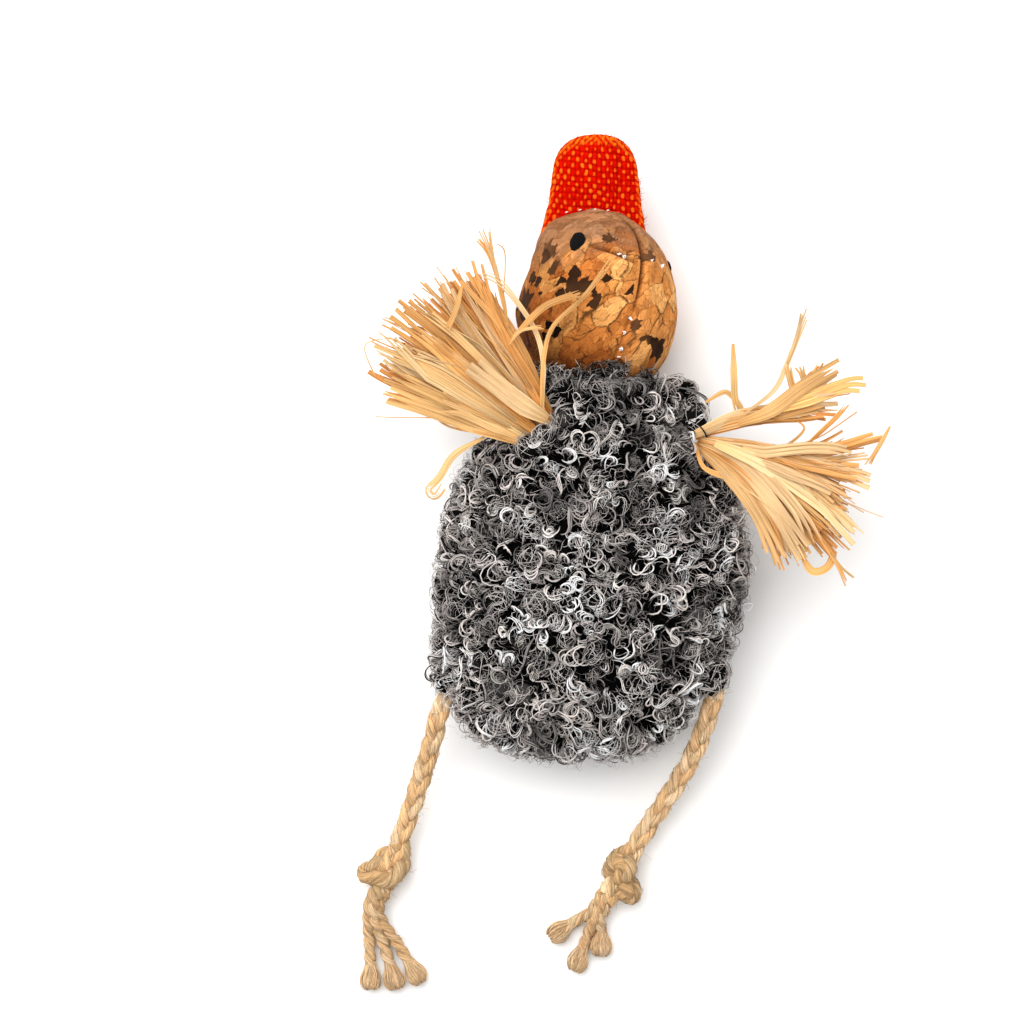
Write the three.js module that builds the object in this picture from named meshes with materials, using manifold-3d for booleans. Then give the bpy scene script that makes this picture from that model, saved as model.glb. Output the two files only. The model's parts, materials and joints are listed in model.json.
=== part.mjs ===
// Cork duck pet toy lying on its back: a stuffed body of curly cloth, a cork head, a woven bill,
// raffia wings and plaited jute legs. X runs across the toy, Y from the feet to the bill and Z up
// from the floor, in millimetres. The origin is on the flat of the back, under the body's middle.
import * as THREE from 'three';
import Module from 'manifold-3d';
import { mergeVertices } from 'three/addons/utils/BufferGeometryUtils.js';

const wasm = await Module();
wasm.setup();

// Gaps between pieces that touch, and between the two cloth edges along a seam
const CLEARANCE = 0.3;
const SEAM_GAP = 0.3;

// Body: a pouch of two cloth panels round a filling, with a pouch of catnip under the front
const BODY_BELOW = 32.8;
const BODY_ABOVE = 25;
const BODY_HALF_WIDTH = 29;
const BODY_HALF_DEPTH = 15.1;
const BACK_FLAT = 0.5;
const COVER_THICKNESS = 1.8;
const CATNIP_RADIUS = 9;
const CATNIP_THICKNESS = 6;

// Neck: the cover's collar, the thread that gathers it and the plug of filling that the head turns on
const COLLAR_RADIUS = 14.7;
const COLLAR_HEIGHT = 8;
const COLLAR_X = 2.6;
const NECK_THREAD_RADIUS = 0.4;
const NECK_PLUG_RADIUS = 8;
const NECK_NOD = 15;

// Head: an egg of two cork panels round a filling, rolled about its long axis
const HEAD_X = 1.2;
const HEAD_RADIUS = 14.5;
const HEAD_CROWN = 17.8;
const HEAD_CHIN = 17;
const HEAD_ABOVE_PIVOT = 14.7;
const CORK_THICKNESS = 0.9;
const HEAD_ROLL = 32;
const EYE_RADIUS = 1.35;
const EYE_SINK = 0.5;
const EYE_ANGLE = 54;
const LEFT_EYE_UP = 12.4;
const RIGHT_EYE_UP = 7.9;

// Bill: two layers of woven cloth with padding between them
const BILL_LENGTH = 13.2;
const BILL_ROOT_HALF_WIDTH = 9;
const BILL_TIP_HALF_WIDTH = 7.6;
const BILL_CLOTH = 0.7;
const BILL_PUFF = 1.8;
const BILL_ROOT_GAP = 0.6;
const BILL_PADDING_RADIUS = 4.2;
const BILL_STITCH_RADIUS = 0.3;
const BILL_STITCH_UP = 0.8;
const BILL_STITCH_HALF_WIDTH = 6.5;

// Wings: raffia strips gathered in a roll that is sewn in at the corner of neck and shoulder
const WING_ROOT_RADIUS = 1.6;
const WING_ROOT_LENGTH = 4.4;
const WING_ROOT_PROUD = 1;
const STRIP_THICKNESS = 0.25;
const STRIP_FILL = 0.8;
const STRIP_RAGGED = 0.14;
const STRIP_LAYER_GAP = 0.38;
const STRIP_LAYER_SPREAD = 4;
const STRIP_RISE_RUN = 4;
const STRIP_WAVE_PER_COLUMN = 2.4;
const STRIP_WAVE_PER_LAYER = 1.7;

// Each wing's fans: strips side by side and in layers, the stretch of the roll that they leave, their rise at
// both edges, and the courses that they fill from the upper edge to the lower one, as points from the root
const LEFT_WING = {
  rootX: -8.2,
  rootY: 26.3,
  fans: [{
    columns: 15, layers: 3, roll: [0, 1], rise: [2, 3],
    halfway: [[-6, 16], [-9.8, 15.1], [-13.4, 12.9], [-16.6, 8.4], [-17.9, 2]],
    tips: [[-11.4, 29], [-19.5, 28.6], [-26.9, 23.7], [-31.4, 16.4], [-30.3, 6.8]],
  }],
};
const RIGHT_WING = {
  rootX: 15.5,
  rootY: 26.3,
  fans: [{
    columns: 5, layers: 2, roll: [0, 0.3], rise: [5, 5.5],
    halfway: [[14.7, 3.6], [15.1, 2.5], [16, 1.2]],
    tips: [[29.1, 11.3], [31.3, 7.4], [29.1, 4.3]],
  }, {
    columns: 16, layers: 2, roll: [0.3, 1], rise: [6, 6.6],
    halfway: [[19.6, -4], [19.6, -6], [18.7, -8.7], [17.4, -11.2], [14.2, -12.1], [11.3, -11.6]],
    tips: [[36, -2], [34.5, -11], [32.7, -20], [30.4, -23.6], [22.3, -24.5], [18.5, -25.9]],
  }],
};

// Legs: a plait sewn into the bottom seam, a knot, and the three twines that run on as toes
const ROPE_RADIUS = 1.9;
const LEG_ROOT_RADIUS = 2.3;
const LEG_STAND_OUT = 1.2;
const KNOT_RADIUS = 4;
const KNOT_LENGTH = 7.6;
const KNOT_WAIST = 0.6;
const TOE_RADIUS = 1;
const TOE_FLARE_RADIUS = 1.5;
const TOE_GAP = 0.5;

// Where the legs leave the body, over its bottom, and the plait's route from there: offsets across and
// along, and the share of the drop from the seam to the knot that is still to come
const LEFT_LEG = {
  side: -1,
  rootUp: 9.8,
  route: [
    [-0.8, -2.6, 1], [-1.6, -6.2, 0.88], [-2.6, -9.6, 0.7], [-3.6, -12.8, 0.5], [-4.8, -16.6, 0.29],
    [-6.0, -20.2, 0.14], [-7.2, -23.6, 0.05], [-8.4, -26.8, 0],
  ],
  toes: { outer: [-13.2, -50.8], middle: [-9.0, -50.8], inner: [-5.0, -49.9] },
};
const RIGHT_LEG = {
  side: 1,
  rootUp: 11.9,
  route: [
    [-0.5, -2.7, 1], [-1.6, -6.2, 0.88], [-3.2, -10.6, 0.66], [-5.3, -14.8, 0.45], [-7.7, -18.8, 0.28],
    [-10.2, -22.6, 0.15], [-12.7, -26.4, 0.06], [-14.9, -30.2, 0],
  ],
  toes: { outer: [-20.2, -46.8], middle: [-24.4, -49.6], inner: [-27.9, -44.4] },
};

// The body's outline from bottom to neck: share of its length, left edge and right edge as shares of
// its half width, and its half depth as a share of the greatest
const BODY_STATIONS = [
  [0, -0.12, 0.02, 0.1],
  [0.025, -0.4, 0.3, 0.3],
  [0.06, -0.67, 0.43, 0.46],
  [0.12, -0.81, 0.61, 0.64],
  [0.22, -0.94, 0.75, 0.82],
  [0.34, -1, 0.9, 0.94],
  [0.48, -0.99, 0.97, 1],
  [0.62, -0.96, 1, 1],
  [0.76, -0.91, 0.965, 0.985],
  [0.87, -0.835, 0.893, 0.965],
  [0.945, -0.73, 0.77, 0.96],
];

// The bill's swelling as shares of its half width and its length: how far across it reaches, and where it
// starts and is full, counted from the root and from the rim
const BILL_PUFF_ACROSS = 0.85;
const BILL_PUFF_FROM_ROOT = [0.05, 0.45];
const BILL_PUFF_FROM_RIM = [0.04, 0.3];

// The knot's radius from end to end as shares of the greatest, with the waist between its two turns left out
const KNOT_FIRST_TURN = [0.5, 0.86, 1, 0.93];
const KNOT_SECOND_TURN = [0.9, 0.96, 0.82, 0.5];

// A toe's course as shares of its length: how far it aims straight on, where it flares, how long its drop
// to the floor takes, and where the drop starts on the two side toes and on the one over them
const TOE_STRAIGHT = 0.35;
const TOE_FLARE = [0.6, 0.95];
const TOE_DROP_RUN = 0.55;
const SIDE_TOE_DROP = 0.1;
const MIDDLE_TOE_DROP = 0.42;
const TOE_STACK = 0.75;

// Facets of the round forms
const BODY_SIDES = 24;
const HEAD_SIDES = 24;
const HEAD_RINGS = 12;
const BALL_RINGS = 7;
const NECK_RINGS = 11;
const EYE_RINGS = 5;
const POUCH_SIDES = 20;
const PADDING_SIDES = 16;
const BILL_COLUMNS = 10;
const BILL_ROWS = 8;
const WING_ROLL_SIDES = 12;
const STRIP_RINGS = [0.02, 0.15, 0.4, 0.7, 1];
const KNOT_SIDES = 12;
const CORD_SIDES = 8;
const ROPE_STEPS = 12;
const TOE_STEPS = 6;
const THREAD_SIDES = 6;
const NECK_THREAD_STEPS = 24;
const STITCH_STEPS = 12;

const MID_Z = BODY_HALF_DEPTH - BACK_FLAT;
const BODY_LENGTH = BODY_BELOW + BODY_ABOVE;
const COLLAR_RIM_Y = BODY_ABOVE + COLLAR_HEIGHT;
const COLLAR_INNER_RADIUS = COLLAR_RADIUS - COVER_THICKNESS;
const NECK_PIVOT = new THREE.Vector3(HEAD_X, COLLAR_RIM_Y, MID_Z);
const HEAD_Y = NECK_PIVOT.y + HEAD_ABOVE_PIVOT;
const CROWN_Y = HEAD_Y + HEAD_CROWN;
const BILL_ROOT_Y = CROWN_Y + BILL_ROOT_GAP;
const TOE_SPACING = 2 * TOE_RADIUS + TOE_GAP;
const SMALLEST_HALF_WIDTH = 0.5;
const FAR = 200;

const radians = THREE.MathUtils.degToRad;

const boucle = new THREE.MeshStandardMaterial({ color: 0x4a4a4c, roughness: 0.95, metalness: 0 });
const filling = new THREE.MeshStandardMaterial({ color: 0xe9e6df, roughness: 0.95, metalness: 0 });
const catnip = new THREE.MeshStandardMaterial({ color: 0x7c8a4e, roughness: 0.95, metalness: 0 });
const cork = new THREE.MeshStandardMaterial({ color: 0xb8824e, roughness: 0.8, metalness: 0 });
const eyeBlack = new THREE.MeshStandardMaterial({ color: 0x060606, roughness: 0.7, metalness: 0 });
const redWeave = new THREE.MeshStandardMaterial({ color: 0xe02a08, roughness: 0.85, metalness: 0 });
const thread = new THREE.MeshStandardMaterial({ color: 0xf0ece6, roughness: 0.8, metalness: 0 });
const raffia = new THREE.MeshStandardMaterial({ color: 0xe6c58a, roughness: 0.7, metalness: 0 });
const jute = new THREE.MeshStandardMaterial({ color: 0xd3a86c, roughness: 0.9, metalness: 0 });

const duck = new THREE.Group();

function addPiece(name, geometry, material) {
  const mesh = new THREE.Mesh(geometry, material);
  mesh.name = name;
  duck.add(mesh);
  return mesh;
}

// A geometry with only its positions, shared corners merged and flattened triangles left out
function cleaned(geometry) {
  const bare = geometry.clone();
  bare.deleteAttribute('normal');
  bare.deleteAttribute('uv');
  const merged = mergeVertices(bare);
  const corners = merged.getIndex().array;
  const kept = [];
  for (let i = 0; i < corners.length; i += 3) {
    const [a, b, c] = [corners[i], corners[i + 1], corners[i + 2]];
    if (a !== b && b !== c && c !== a) kept.push(a, b, c);
  }
  merged.setIndex(kept);
  return merged;
}

function toSolid(geometry) {
  const closed = cleaned(geometry);
  const vertProperties = new Float32Array(closed.getAttribute('position').array);
  const triVerts = new Uint32Array(closed.getIndex().array);
  return new wasm.Manifold(new wasm.Mesh({ numProp: 3, vertProperties, triVerts }));
}

function toGeometry(solid) {
  const mesh = solid.getMesh();
  const geometry = new THREE.BufferGeometry();
  geometry.setAttribute('position', new THREE.BufferAttribute(mesh.vertProperties, 3));
  geometry.setIndex(new THREE.BufferAttribute(mesh.triVerts, 1));
  geometry.computeVertexNormals();
  return geometry;
}

// A closed skin through rings of points, each running anticlockwise as seen from the last ring's side
function loft(rings) {
  const count = rings[0].length;
  const points = rings.flat();
  const first = points.length;
  for (const ring of [rings[0], rings.at(-1)]) {
    const centre = new THREE.Vector3();
    ring.forEach((point) => centre.add(point));
    points.push(centre.divideScalar(count));
  }
  const triangles = [];
  const lastRing = (rings.length - 1) * count;
  for (let side = 0; side < count; side += 1) {
    const next = (side + 1) % count;
    for (let ring = 0; ring < lastRing; ring += count) {
      triangles.push(ring + side, ring + next, ring + count + next);
      triangles.push(ring + side, ring + count + next, ring + count + side);
    }
    triangles.push(first, next, side, first + 1, lastRing + side, lastRing + next);
  }
  const geometry = new THREE.BufferGeometry().setFromPoints(points);
  geometry.setIndex(triangles);
  return geometry;
}

function box(low, high) {
  const size = new THREE.Vector3().subVectors(high, low);
  const geometry = new THREE.BoxGeometry(size.x, size.y, size.z);
  geometry.translate((low.x + high.x) / 2, (low.y + high.y) / 2, (low.z + high.z) / 2);
  return geometry;
}

function ball(radius, centre, rings = BALL_RINGS) {
  const geometry = new THREE.SphereGeometry(radius, 2 * rings, rings);
  geometry.translate(centre.x, centre.y, centre.z);
  return geometry;
}

const belowFloor = toSolid(box(new THREE.Vector3(-FAR, -FAR, -FAR), new THREE.Vector3(FAR, FAR, 0)));

// The body's section at each station, with the collar's two round sections last
function bodySections() {
  const sections = BODY_STATIONS.map(([along, left, right, depth]) => ({
    y: along * BODY_LENGTH - BODY_BELOW,
    left: left * BODY_HALF_WIDTH,
    right: right * BODY_HALF_WIDTH,
    depth: depth * BODY_HALF_DEPTH,
  }));
  for (const y of [BODY_ABOVE, COLLAR_RIM_Y]) {
    const [left, right] = [COLLAR_X - COLLAR_RADIUS, COLLAR_X + COLLAR_RADIUS];
    sections.push({ y, left, right, depth: COLLAR_RADIUS });
  }
  return sections;
}

// The body's section at any height, between the two nearest stations
function bodySectionAt(y) {
  const sections = bodySections();
  const above = sections.find((section) => section.y >= y);
  const below = sections[Math.max(sections.indexOf(above) - 1, 0)];
  const share = (y - below.y) / (above.y - below.y);
  const between = (key) => THREE.MathUtils.lerp(below[key], above[key], share);
  const [left, right, depth] = [between('left'), between('right'), between('depth')];
  return { left, right, depth, centre: (left + right) / 2, halfWidth: (right - left) / 2 };
}

// The height of the body's front over the floor at a place on it
function bodyFrontZ(x, y) {
  const { centre, halfWidth, depth } = bodySectionAt(y);
  const across = (x - centre) / halfWidth;
  return MID_Z + depth * Math.sqrt(Math.max(1 - across * across, 0));
}

// The whole body drawn in by an inset and cut off square at its top
function bodySolid(inset, topY) {
  const sections = bodySections();
  sections.at(-1).y = topY;
  const rings = sections.map(({ y, left, right, depth }) => {
    const centre = (left + right) / 2;
    const halfWidth = Math.max((right - left) / 2 - inset, SMALLEST_HALF_WIDTH);
    const halfDepth = Math.max(depth - inset, SMALLEST_HALF_WIDTH);
    const ringY = y < 0 ? y * (1 - inset / BODY_BELOW) : y;
    return Array.from({ length: BODY_SIDES }, (_, side) => {
      const angle = (2 * Math.PI * side) / BODY_SIDES;
      const x = centre + halfWidth * Math.sin(angle);
      return new THREE.Vector3(x, ringY, MID_Z + halfDepth * Math.cos(angle));
    });
  });
  return toSolid(loft(rings));
}

// The head's egg drawn in by an inset
function headEgg(inset) {
  const radius = HEAD_RADIUS - inset;
  const profile = [];
  for (let ring = 0; ring <= HEAD_RINGS; ring += 1) {
    const angle = Math.PI * (ring / HEAD_RINGS - 0.5);
    const reach = (angle < 0 ? HEAD_CHIN : HEAD_CROWN) - inset;
    profile.push(new THREE.Vector2(Math.max(radius * Math.cos(angle), 0), reach * Math.sin(angle)));
  }
  profile[0].x = 0;
  profile[HEAD_RINGS].x = 0;
  const geometry = new THREE.LatheGeometry(profile, HEAD_SIDES);
  geometry.translate(HEAD_X, HEAD_Y, MID_Z);
  return toSolid(geometry);
}

// A point on the egg's skin at a height over its middle and an angle from the head's own front
function headPoint(up, angle, sink) {
  const around = radians(angle + HEAD_ROLL);
  const radius = HEAD_RADIUS * Math.sqrt(1 - (up / HEAD_CROWN) ** 2) - sink;
  const [x, z] = [HEAD_X + radius * Math.sin(around), MID_Z + radius * Math.cos(around)];
  return new THREE.Vector3(x, HEAD_Y + up, z);
}

const neckSocket = toSolid(ball(NECK_PLUG_RADIUS + CLEARANCE, NECK_PIVOT, NECK_RINGS));

// Where a wing is sewn on: the middle of its roll, half sunk in the body's skin along the neck
function wingRoot({ rootX, rootY }) {
  return new THREE.Vector3(rootX, rootY, bodyFrontZ(rootX, rootY) + WING_ROOT_PROUD);
}

function wingRoll(wing, extra) {
  const { x, y, z } = wingRoot(wing);
  const radius = WING_ROOT_RADIUS + extra;
  const geometry = new THREE.CylinderGeometry(radius, radius, WING_ROOT_LENGTH + 2 * extra, WING_ROLL_SIDES);
  geometry.translate(x, y, z);
  return toSolid(geometry);
}

// The point a share of the way along a row of points
function alongRow(row, share) {
  const place = share * (row.length - 1);
  const first = Math.min(Math.floor(place), row.length - 2);
  const [before, after] = [row[first], row[first + 1]].map((point) => new THREE.Vector2(...point));
  return before.lerp(after, place - first);
}

// The course of a strip from the roll, through its fan's halfway row, to the row of tips
function stripCourse(fan, share) {
  const onRoll = THREE.MathUtils.lerp(...fan.roll, share);
  const start = new THREE.Vector2(0, (0.5 - onRoll) * WING_ROOT_LENGTH * STRIP_FILL);
  const tip = alongRow(fan.tips, share);
  const ends = start.clone().add(tip).divideScalar(2);
  const bend = alongRow(fan.halfway, share).multiplyScalar(2).sub(ends);
  return new THREE.QuadraticBezierCurve(start, bend, tip);
}

// One raffia strip: a flat ribbon that widens from the root, rises off the body and lies level
function raffiaStrip(wing, fan, column, layer) {
  const share = column / (fan.columns - 1);
  const course = stripCourse(fan, share);
  const neighbour = stripCourse(fan, share + (share < 0.5 ? 1 : -1) / (fan.columns - 1));
  const wave = Math.sin(STRIP_WAVE_PER_COLUMN * column + STRIP_WAVE_PER_LAYER * layer);
  const reach = 1 - STRIP_RAGGED * (0.5 + 0.5 * wave);
  const rise = THREE.MathUtils.lerp(...fan.rise, share);
  const layerTilt = Math.tan(radians(STRIP_LAYER_SPREAD)) * layer;
  const length = course.getLength();
  const rings = STRIP_RINGS.map((ring) => {
    const along = ring * reach;
    const point = course.getPoint(along);
    const heading = course.getTangent(along);
    const side = new THREE.Vector3(-heading.y, heading.x, 0);
    const half = (STRIP_FILL * point.distanceTo(neighbour.getPoint(along))) / 2;
    const lift = rise * (1 - Math.exp((-along * length) / STRIP_RISE_RUN)) + along * length * layerTilt;
    const middle = wingRoot(wing).add(new THREE.Vector3(point.x, point.y, lift));
    middle.z += (layer - (fan.layers - 1) / 2) * STRIP_LAYER_GAP;
    const corner = (across, up) => {
      const place = middle.clone().addScaledVector(side, across * half);
      place.z += (up * STRIP_THICKNESS) / 2;
      return place;
    };
    return [corner(-1, -1), corner(-1, 1), corner(1, 1), corner(1, -1)].reverse();
  });
  return toSolid(loft(rings));
}

function wingSolid(wing) {
  let bundle = wingRoll(wing, 0);
  for (const fan of wing.fans) {
    for (let layer = 0; layer < fan.layers; layer += 1) {
      for (let column = 0; column < fan.columns; column += 1) {
        bundle = bundle.add(raffiaStrip(wing, fan, column, layer));
      }
    }
  }
  return bundle;
}

// Where a leg is sewn in: on the seam, just outside the body's edge
function legRoot({ side, rootUp }) {
  const rootY = rootUp - BODY_BELOW;
  const section = bodySectionAt(rootY);
  const edge = side < 0 ? section.left : section.right;
  return new THREE.Vector3(edge + side * LEG_STAND_OUT, rootY, MID_Z);
}

const wingGrooves = [LEFT_WING, RIGHT_WING].map((wing) => wingRoll(wing, CLEARANCE));
const legSockets = [LEFT_LEG, RIGHT_LEG].map((leg) => {
  return toSolid(ball(LEG_ROOT_RADIUS + CLEARANCE, legRoot(leg)));
});
const bodyCuts = [...wingGrooves, ...legSockets];

function cutAll(solid, cutters) {
  return cutters.reduce((left, cutter) => left.subtract(cutter), solid);
}

// The cover's two panels, open at the collar and parted along the seam
function addBodyCover() {
  const hollow = bodySolid(COVER_THICKNESS, COLLAR_RIM_Y + FAR);
  const cover = cutAll(bodySolid(0, COLLAR_RIM_Y).subtract(hollow), [...bodyCuts, belowFloor]);
  const seamTop = MID_Z + SEAM_GAP / 2;
  const frontHalf = toSolid(box(new THREE.Vector3(-FAR, -FAR, seamTop), new THREE.Vector3(FAR, FAR, FAR)));
  const seamBottom = MID_Z - SEAM_GAP / 2;
  const backHalf = toSolid(box(new THREE.Vector3(-FAR, -FAR, -FAR), new THREE.Vector3(FAR, FAR, seamBottom)));
  addPiece('body_front_panel', toGeometry(cover.intersect(frontHalf)), boucle);
  addPiece('body_back_panel', toGeometry(cover.intersect(backHalf)), boucle);
}

// A flat round pouch, set with its front just under the cover's inside
function catnipPouch(extra) {
  const geometry = new THREE.SphereGeometry(1, POUCH_SIDES, POUCH_SIDES / 2);
  geometry.scale(CATNIP_RADIUS + extra, CATNIP_RADIUS + extra, CATNIP_THICKNESS / 2 + extra);
  const front = MID_Z + BODY_HALF_DEPTH - COVER_THICKNESS - CLEARANCE;
  geometry.translate(0, 0, front - CATNIP_THICKNESS / 2);
  return geometry;
}

// The body's filling, with a recess for the catnip that opens to the front, and a socket for the neck
function addBodyFilling() {
  const inset = COVER_THICKNESS + CLEARANCE;
  const swing = radians(NECK_NOD);
  const topY = NECK_PIVOT.y - (NECK_PLUG_RADIUS + CLEARANCE + CORK_THICKNESS) * Math.sin(swing) - CLEARANCE;
  const recess = new THREE.CylinderGeometry(CATNIP_RADIUS, CATNIP_RADIUS, FAR, POUCH_SIDES);
  recess.rotateX(Math.PI / 2);
  recess.translate(0, 0, MID_Z + BODY_HALF_DEPTH - COVER_THICKNESS - CATNIP_THICKNESS / 2 + FAR / 2);
  const cuts = [...bodyCuts, neckSocket, toSolid(catnipPouch(CLEARANCE)), toSolid(recess)];
  addPiece('body_stuffing', toGeometry(cutAll(bodySolid(inset, topY), cuts)), filling);
  addPiece('catnip_pouch', catnipPouch(0), catnip);
  return topY;
}

// The gathering thread lies inside the collar, over the filling
function addNeck(fillingTop) {
  const ringRadius = COLLAR_INNER_RADIUS - CLEARANCE - NECK_THREAD_RADIUS;
  const ring = new THREE.TorusGeometry(ringRadius, NECK_THREAD_RADIUS, THREAD_SIDES, NECK_THREAD_STEPS);
  ring.rotateX(Math.PI / 2);
  ring.translate(COLLAR_X, fillingTop + CLEARANCE + NECK_THREAD_RADIUS, MID_Z);
  addPiece('neck_thread', cleaned(ring), thread);
  addPiece('neck_stuffing', cleaned(ball(NECK_PLUG_RADIUS, NECK_PIVOT, NECK_RINGS)), filling);
}

// One half of space on the left or right of the head's centre seam
function headSide(sign) {
  const start = sign < 0 ? -FAR : SEAM_GAP / 2;
  const end = sign < 0 ? -SEAM_GAP / 2 : FAR;
  const geometry = box(new THREE.Vector3(start, -FAR, -FAR), new THREE.Vector3(end, FAR, FAR));
  geometry.rotateY(radians(HEAD_ROLL));
  geometry.translate(HEAD_X, 0, MID_Z);
  return toSolid(geometry);
}

function eyeBall(up, angle, extra) {
  return ball(EYE_RADIUS + extra, headPoint(up, angle, EYE_SINK), EYE_RINGS);
}

// The head's two cork panels, its filling and the eyes sunk in dimples
function addHead() {
  const eyes = [
    { name: 'left_eye', up: LEFT_EYE_UP, angle: -EYE_ANGLE },
    { name: 'right_eye', up: RIGHT_EYE_UP, angle: EYE_ANGLE },
  ];
  const dimples = eyes.map(({ up, angle }) => toSolid(eyeBall(up, angle, CLEARANCE)));
  const openEnd = NECK_PIVOT.y + CLEARANCE;
  const belowHead = toSolid(box(new THREE.Vector3(-FAR, -FAR, -FAR), new THREE.Vector3(FAR, openEnd, FAR)));
  const cuts = [...dimples, neckSocket, belowHead, belowFloor];
  const skin = cutAll(headEgg(0).subtract(headEgg(CORK_THICKNESS)), cuts);
  addPiece('head_left_panel', toGeometry(skin.intersect(headSide(-1))), cork);
  addPiece('head_right_panel', toGeometry(skin.intersect(headSide(1))), cork);
  const inside = headEgg(CORK_THICKNESS + CLEARANCE);
  addPiece('head_stuffing', toGeometry(cutAll(inside, cuts)), filling);
  eyes.forEach(({ name, up, angle }) => addPiece(name, cleaned(eyeBall(up, angle, 0)), eyeBlack));
}

// The bill's root follows the crown of the head, and its tip is round
function billRootY(x) {
  return HEAD_Y + BILL_ROOT_GAP + HEAD_CROWN * Math.sqrt(1 - (x / HEAD_RADIUS) ** 2);
}

function billTipY(x) {
  const round = Math.sqrt(Math.max(BILL_TIP_HALF_WIDTH ** 2 - x * x, 0));
  return BILL_ROOT_Y + BILL_LENGTH - BILL_TIP_HALF_WIDTH + round;
}

// The bill swells in the middle and lies flat along its rim and root
function billPuff(across, along) {
  const sideways = Math.max(1 - (across / BILL_PUFF_ACROSS) ** 2, 0);
  const offRoot = THREE.MathUtils.smoothstep(along, ...BILL_PUFF_FROM_ROOT);
  const offRim = THREE.MathUtils.smoothstep(1 - along, ...BILL_PUFF_FROM_RIM);
  return BILL_PUFF * sideways * offRoot * offRim;
}

function billHalfWidth(along) {
  return THREE.MathUtils.lerp(BILL_ROOT_HALF_WIDTH, BILL_TIP_HALF_WIDTH, along);
}

// One layer of the bill, on the front with sign 1 or on the back with sign -1
function billLayer(sign) {
  const rings = [];
  for (let column = 0; column <= BILL_COLUMNS; column += 1) {
    const across = (2 * column) / BILL_COLUMNS - 1;
    const outer = [];
    const inner = [];
    for (let row = 0; row <= BILL_ROWS; row += 1) {
      const along = row / BILL_ROWS;
      const x = across * billHalfWidth(along);
      const y = THREE.MathUtils.lerp(billRootY(x), billTipY(x), along);
      const lift = CLEARANCE / 2 + billPuff(across, along);
      outer.push(new THREE.Vector3(HEAD_X + x, y, MID_Z + sign * (lift + BILL_CLOTH)));
      inner.push(new THREE.Vector3(HEAD_X + x, y, MID_Z + sign * lift));
    }
    const ring = [...outer, ...inner.reverse()];
    rings.push(sign < 0 ? ring : ring.reverse());
  }
  return loft(rings);
}

function addBill() {
  addPiece('bill_front_layer', billLayer(1), redWeave);
  addPiece('bill_back_layer', billLayer(-1), redWeave);
  const padding = new THREE.SphereGeometry(1, PADDING_SIDES, PADDING_SIDES / 2);
  padding.scale(BILL_PADDING_RADIUS, BILL_PADDING_RADIUS, BILL_PUFF - CLEARANCE / 2);
  padding.translate(HEAD_X, BILL_ROOT_Y + BILL_LENGTH / 2, MID_Z);
  addPiece('bill_padding', cleaned(padding), filling);
  const stitchLift = CLEARANCE / 2 + BILL_CLOTH + CLEARANCE + BILL_STITCH_RADIUS;
  const path = [-1, -0.5, 0, 0.5, 1].map((share) => {
    const x = share * BILL_STITCH_HALF_WIDTH;
    const along = BILL_STITCH_UP / (billTipY(x) - billRootY(x));
    const puff = billPuff(x / billHalfWidth(along), along);
    return new THREE.Vector3(HEAD_X + x, billRootY(x) + BILL_STITCH_UP, MID_Z + puff + stitchLift);
  });
  addPiece('bill_stitching', tube(path, BILL_STITCH_RADIUS, THREAD_SIDES, STITCH_STEPS), thread);
}

// A round cord along a smooth curve through the given points
function tube(points, radius, sides, steps) {
  const section = new THREE.Shape();
  for (let side = 0; side < sides; side += 1) {
    const angle = (2 * Math.PI * side) / sides;
    const [x, y] = [radius * Math.cos(angle), radius * Math.sin(angle)];
    if (side === 0) section.moveTo(x, y);
    else section.lineTo(x, y);
  }
  section.closePath();
  const extrudePath = new THREE.CatmullRomCurve3(points);
  return cleaned(new THREE.ExtrudeGeometry(section, { steps, extrudePath, curveSegments: 1 }));
}

// A knot with two turns of cord and a waist between them, from one point towards another
function knot(start, direction) {
  const radii = [...KNOT_FIRST_TURN, 1 - KNOT_WAIST / KNOT_RADIUS, ...KNOT_SECOND_TURN];
  const profile = radii.map((share, ring) => {
    return new THREE.Vector2(share * KNOT_RADIUS, (KNOT_LENGTH * ring) / (radii.length - 1));
  });
  const closed = [new THREE.Vector2(0, 0), ...profile, new THREE.Vector2(0, KNOT_LENGTH)];
  const geometry = new THREE.LatheGeometry(closed, KNOT_SIDES);
  geometry.applyQuaternion(new THREE.Quaternion().setFromUnitVectors(new THREE.Vector3(0, 1, 0), direction));
  geometry.translate(start.x, start.y, start.z);
  return cleaned(geometry);
}

// A toe of twine that leaves the knot straight, bends down to the floor and flares at its cut end
function toe(start, direction, end, dropFrom) {
  const reach = start.distanceTo(end);
  const bend = start.clone().addScaledVector(direction, reach * TOE_STRAIGHT);
  const path = new THREE.QuadraticBezierCurve3(start, bend, end);
  const rings = [];
  for (let step = 0; step <= TOE_STEPS; step += 1) {
    const share = step / TOE_STEPS;
    const flare = THREE.MathUtils.smoothstep(share, ...TOE_FLARE);
    const radius = THREE.MathUtils.lerp(TOE_RADIUS, TOE_FLARE_RADIUS, flare);
    const middle = path.getPoint(share);
    const drop = THREE.MathUtils.smoothstep(share, dropFrom, dropFrom + TOE_DROP_RUN);
    middle.z = THREE.MathUtils.lerp(start.z, radius, drop);
    const forward = path.getTangent(share).setZ(0).normalize();
    const side = new THREE.Vector3(-forward.y, forward.x, 0);
    const ring = [];
    for (let corner = 0; corner < CORD_SIDES; corner += 1) {
      const angle = (2 * Math.PI * (corner + 0.5)) / CORD_SIDES;
      const point = middle.clone().addScaledVector(side, radius * Math.cos(angle));
      point.z += radius * Math.sin(angle);
      ring.push(point);
    }
    rings.push(ring);
  }
  return loft(rings);
}

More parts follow.
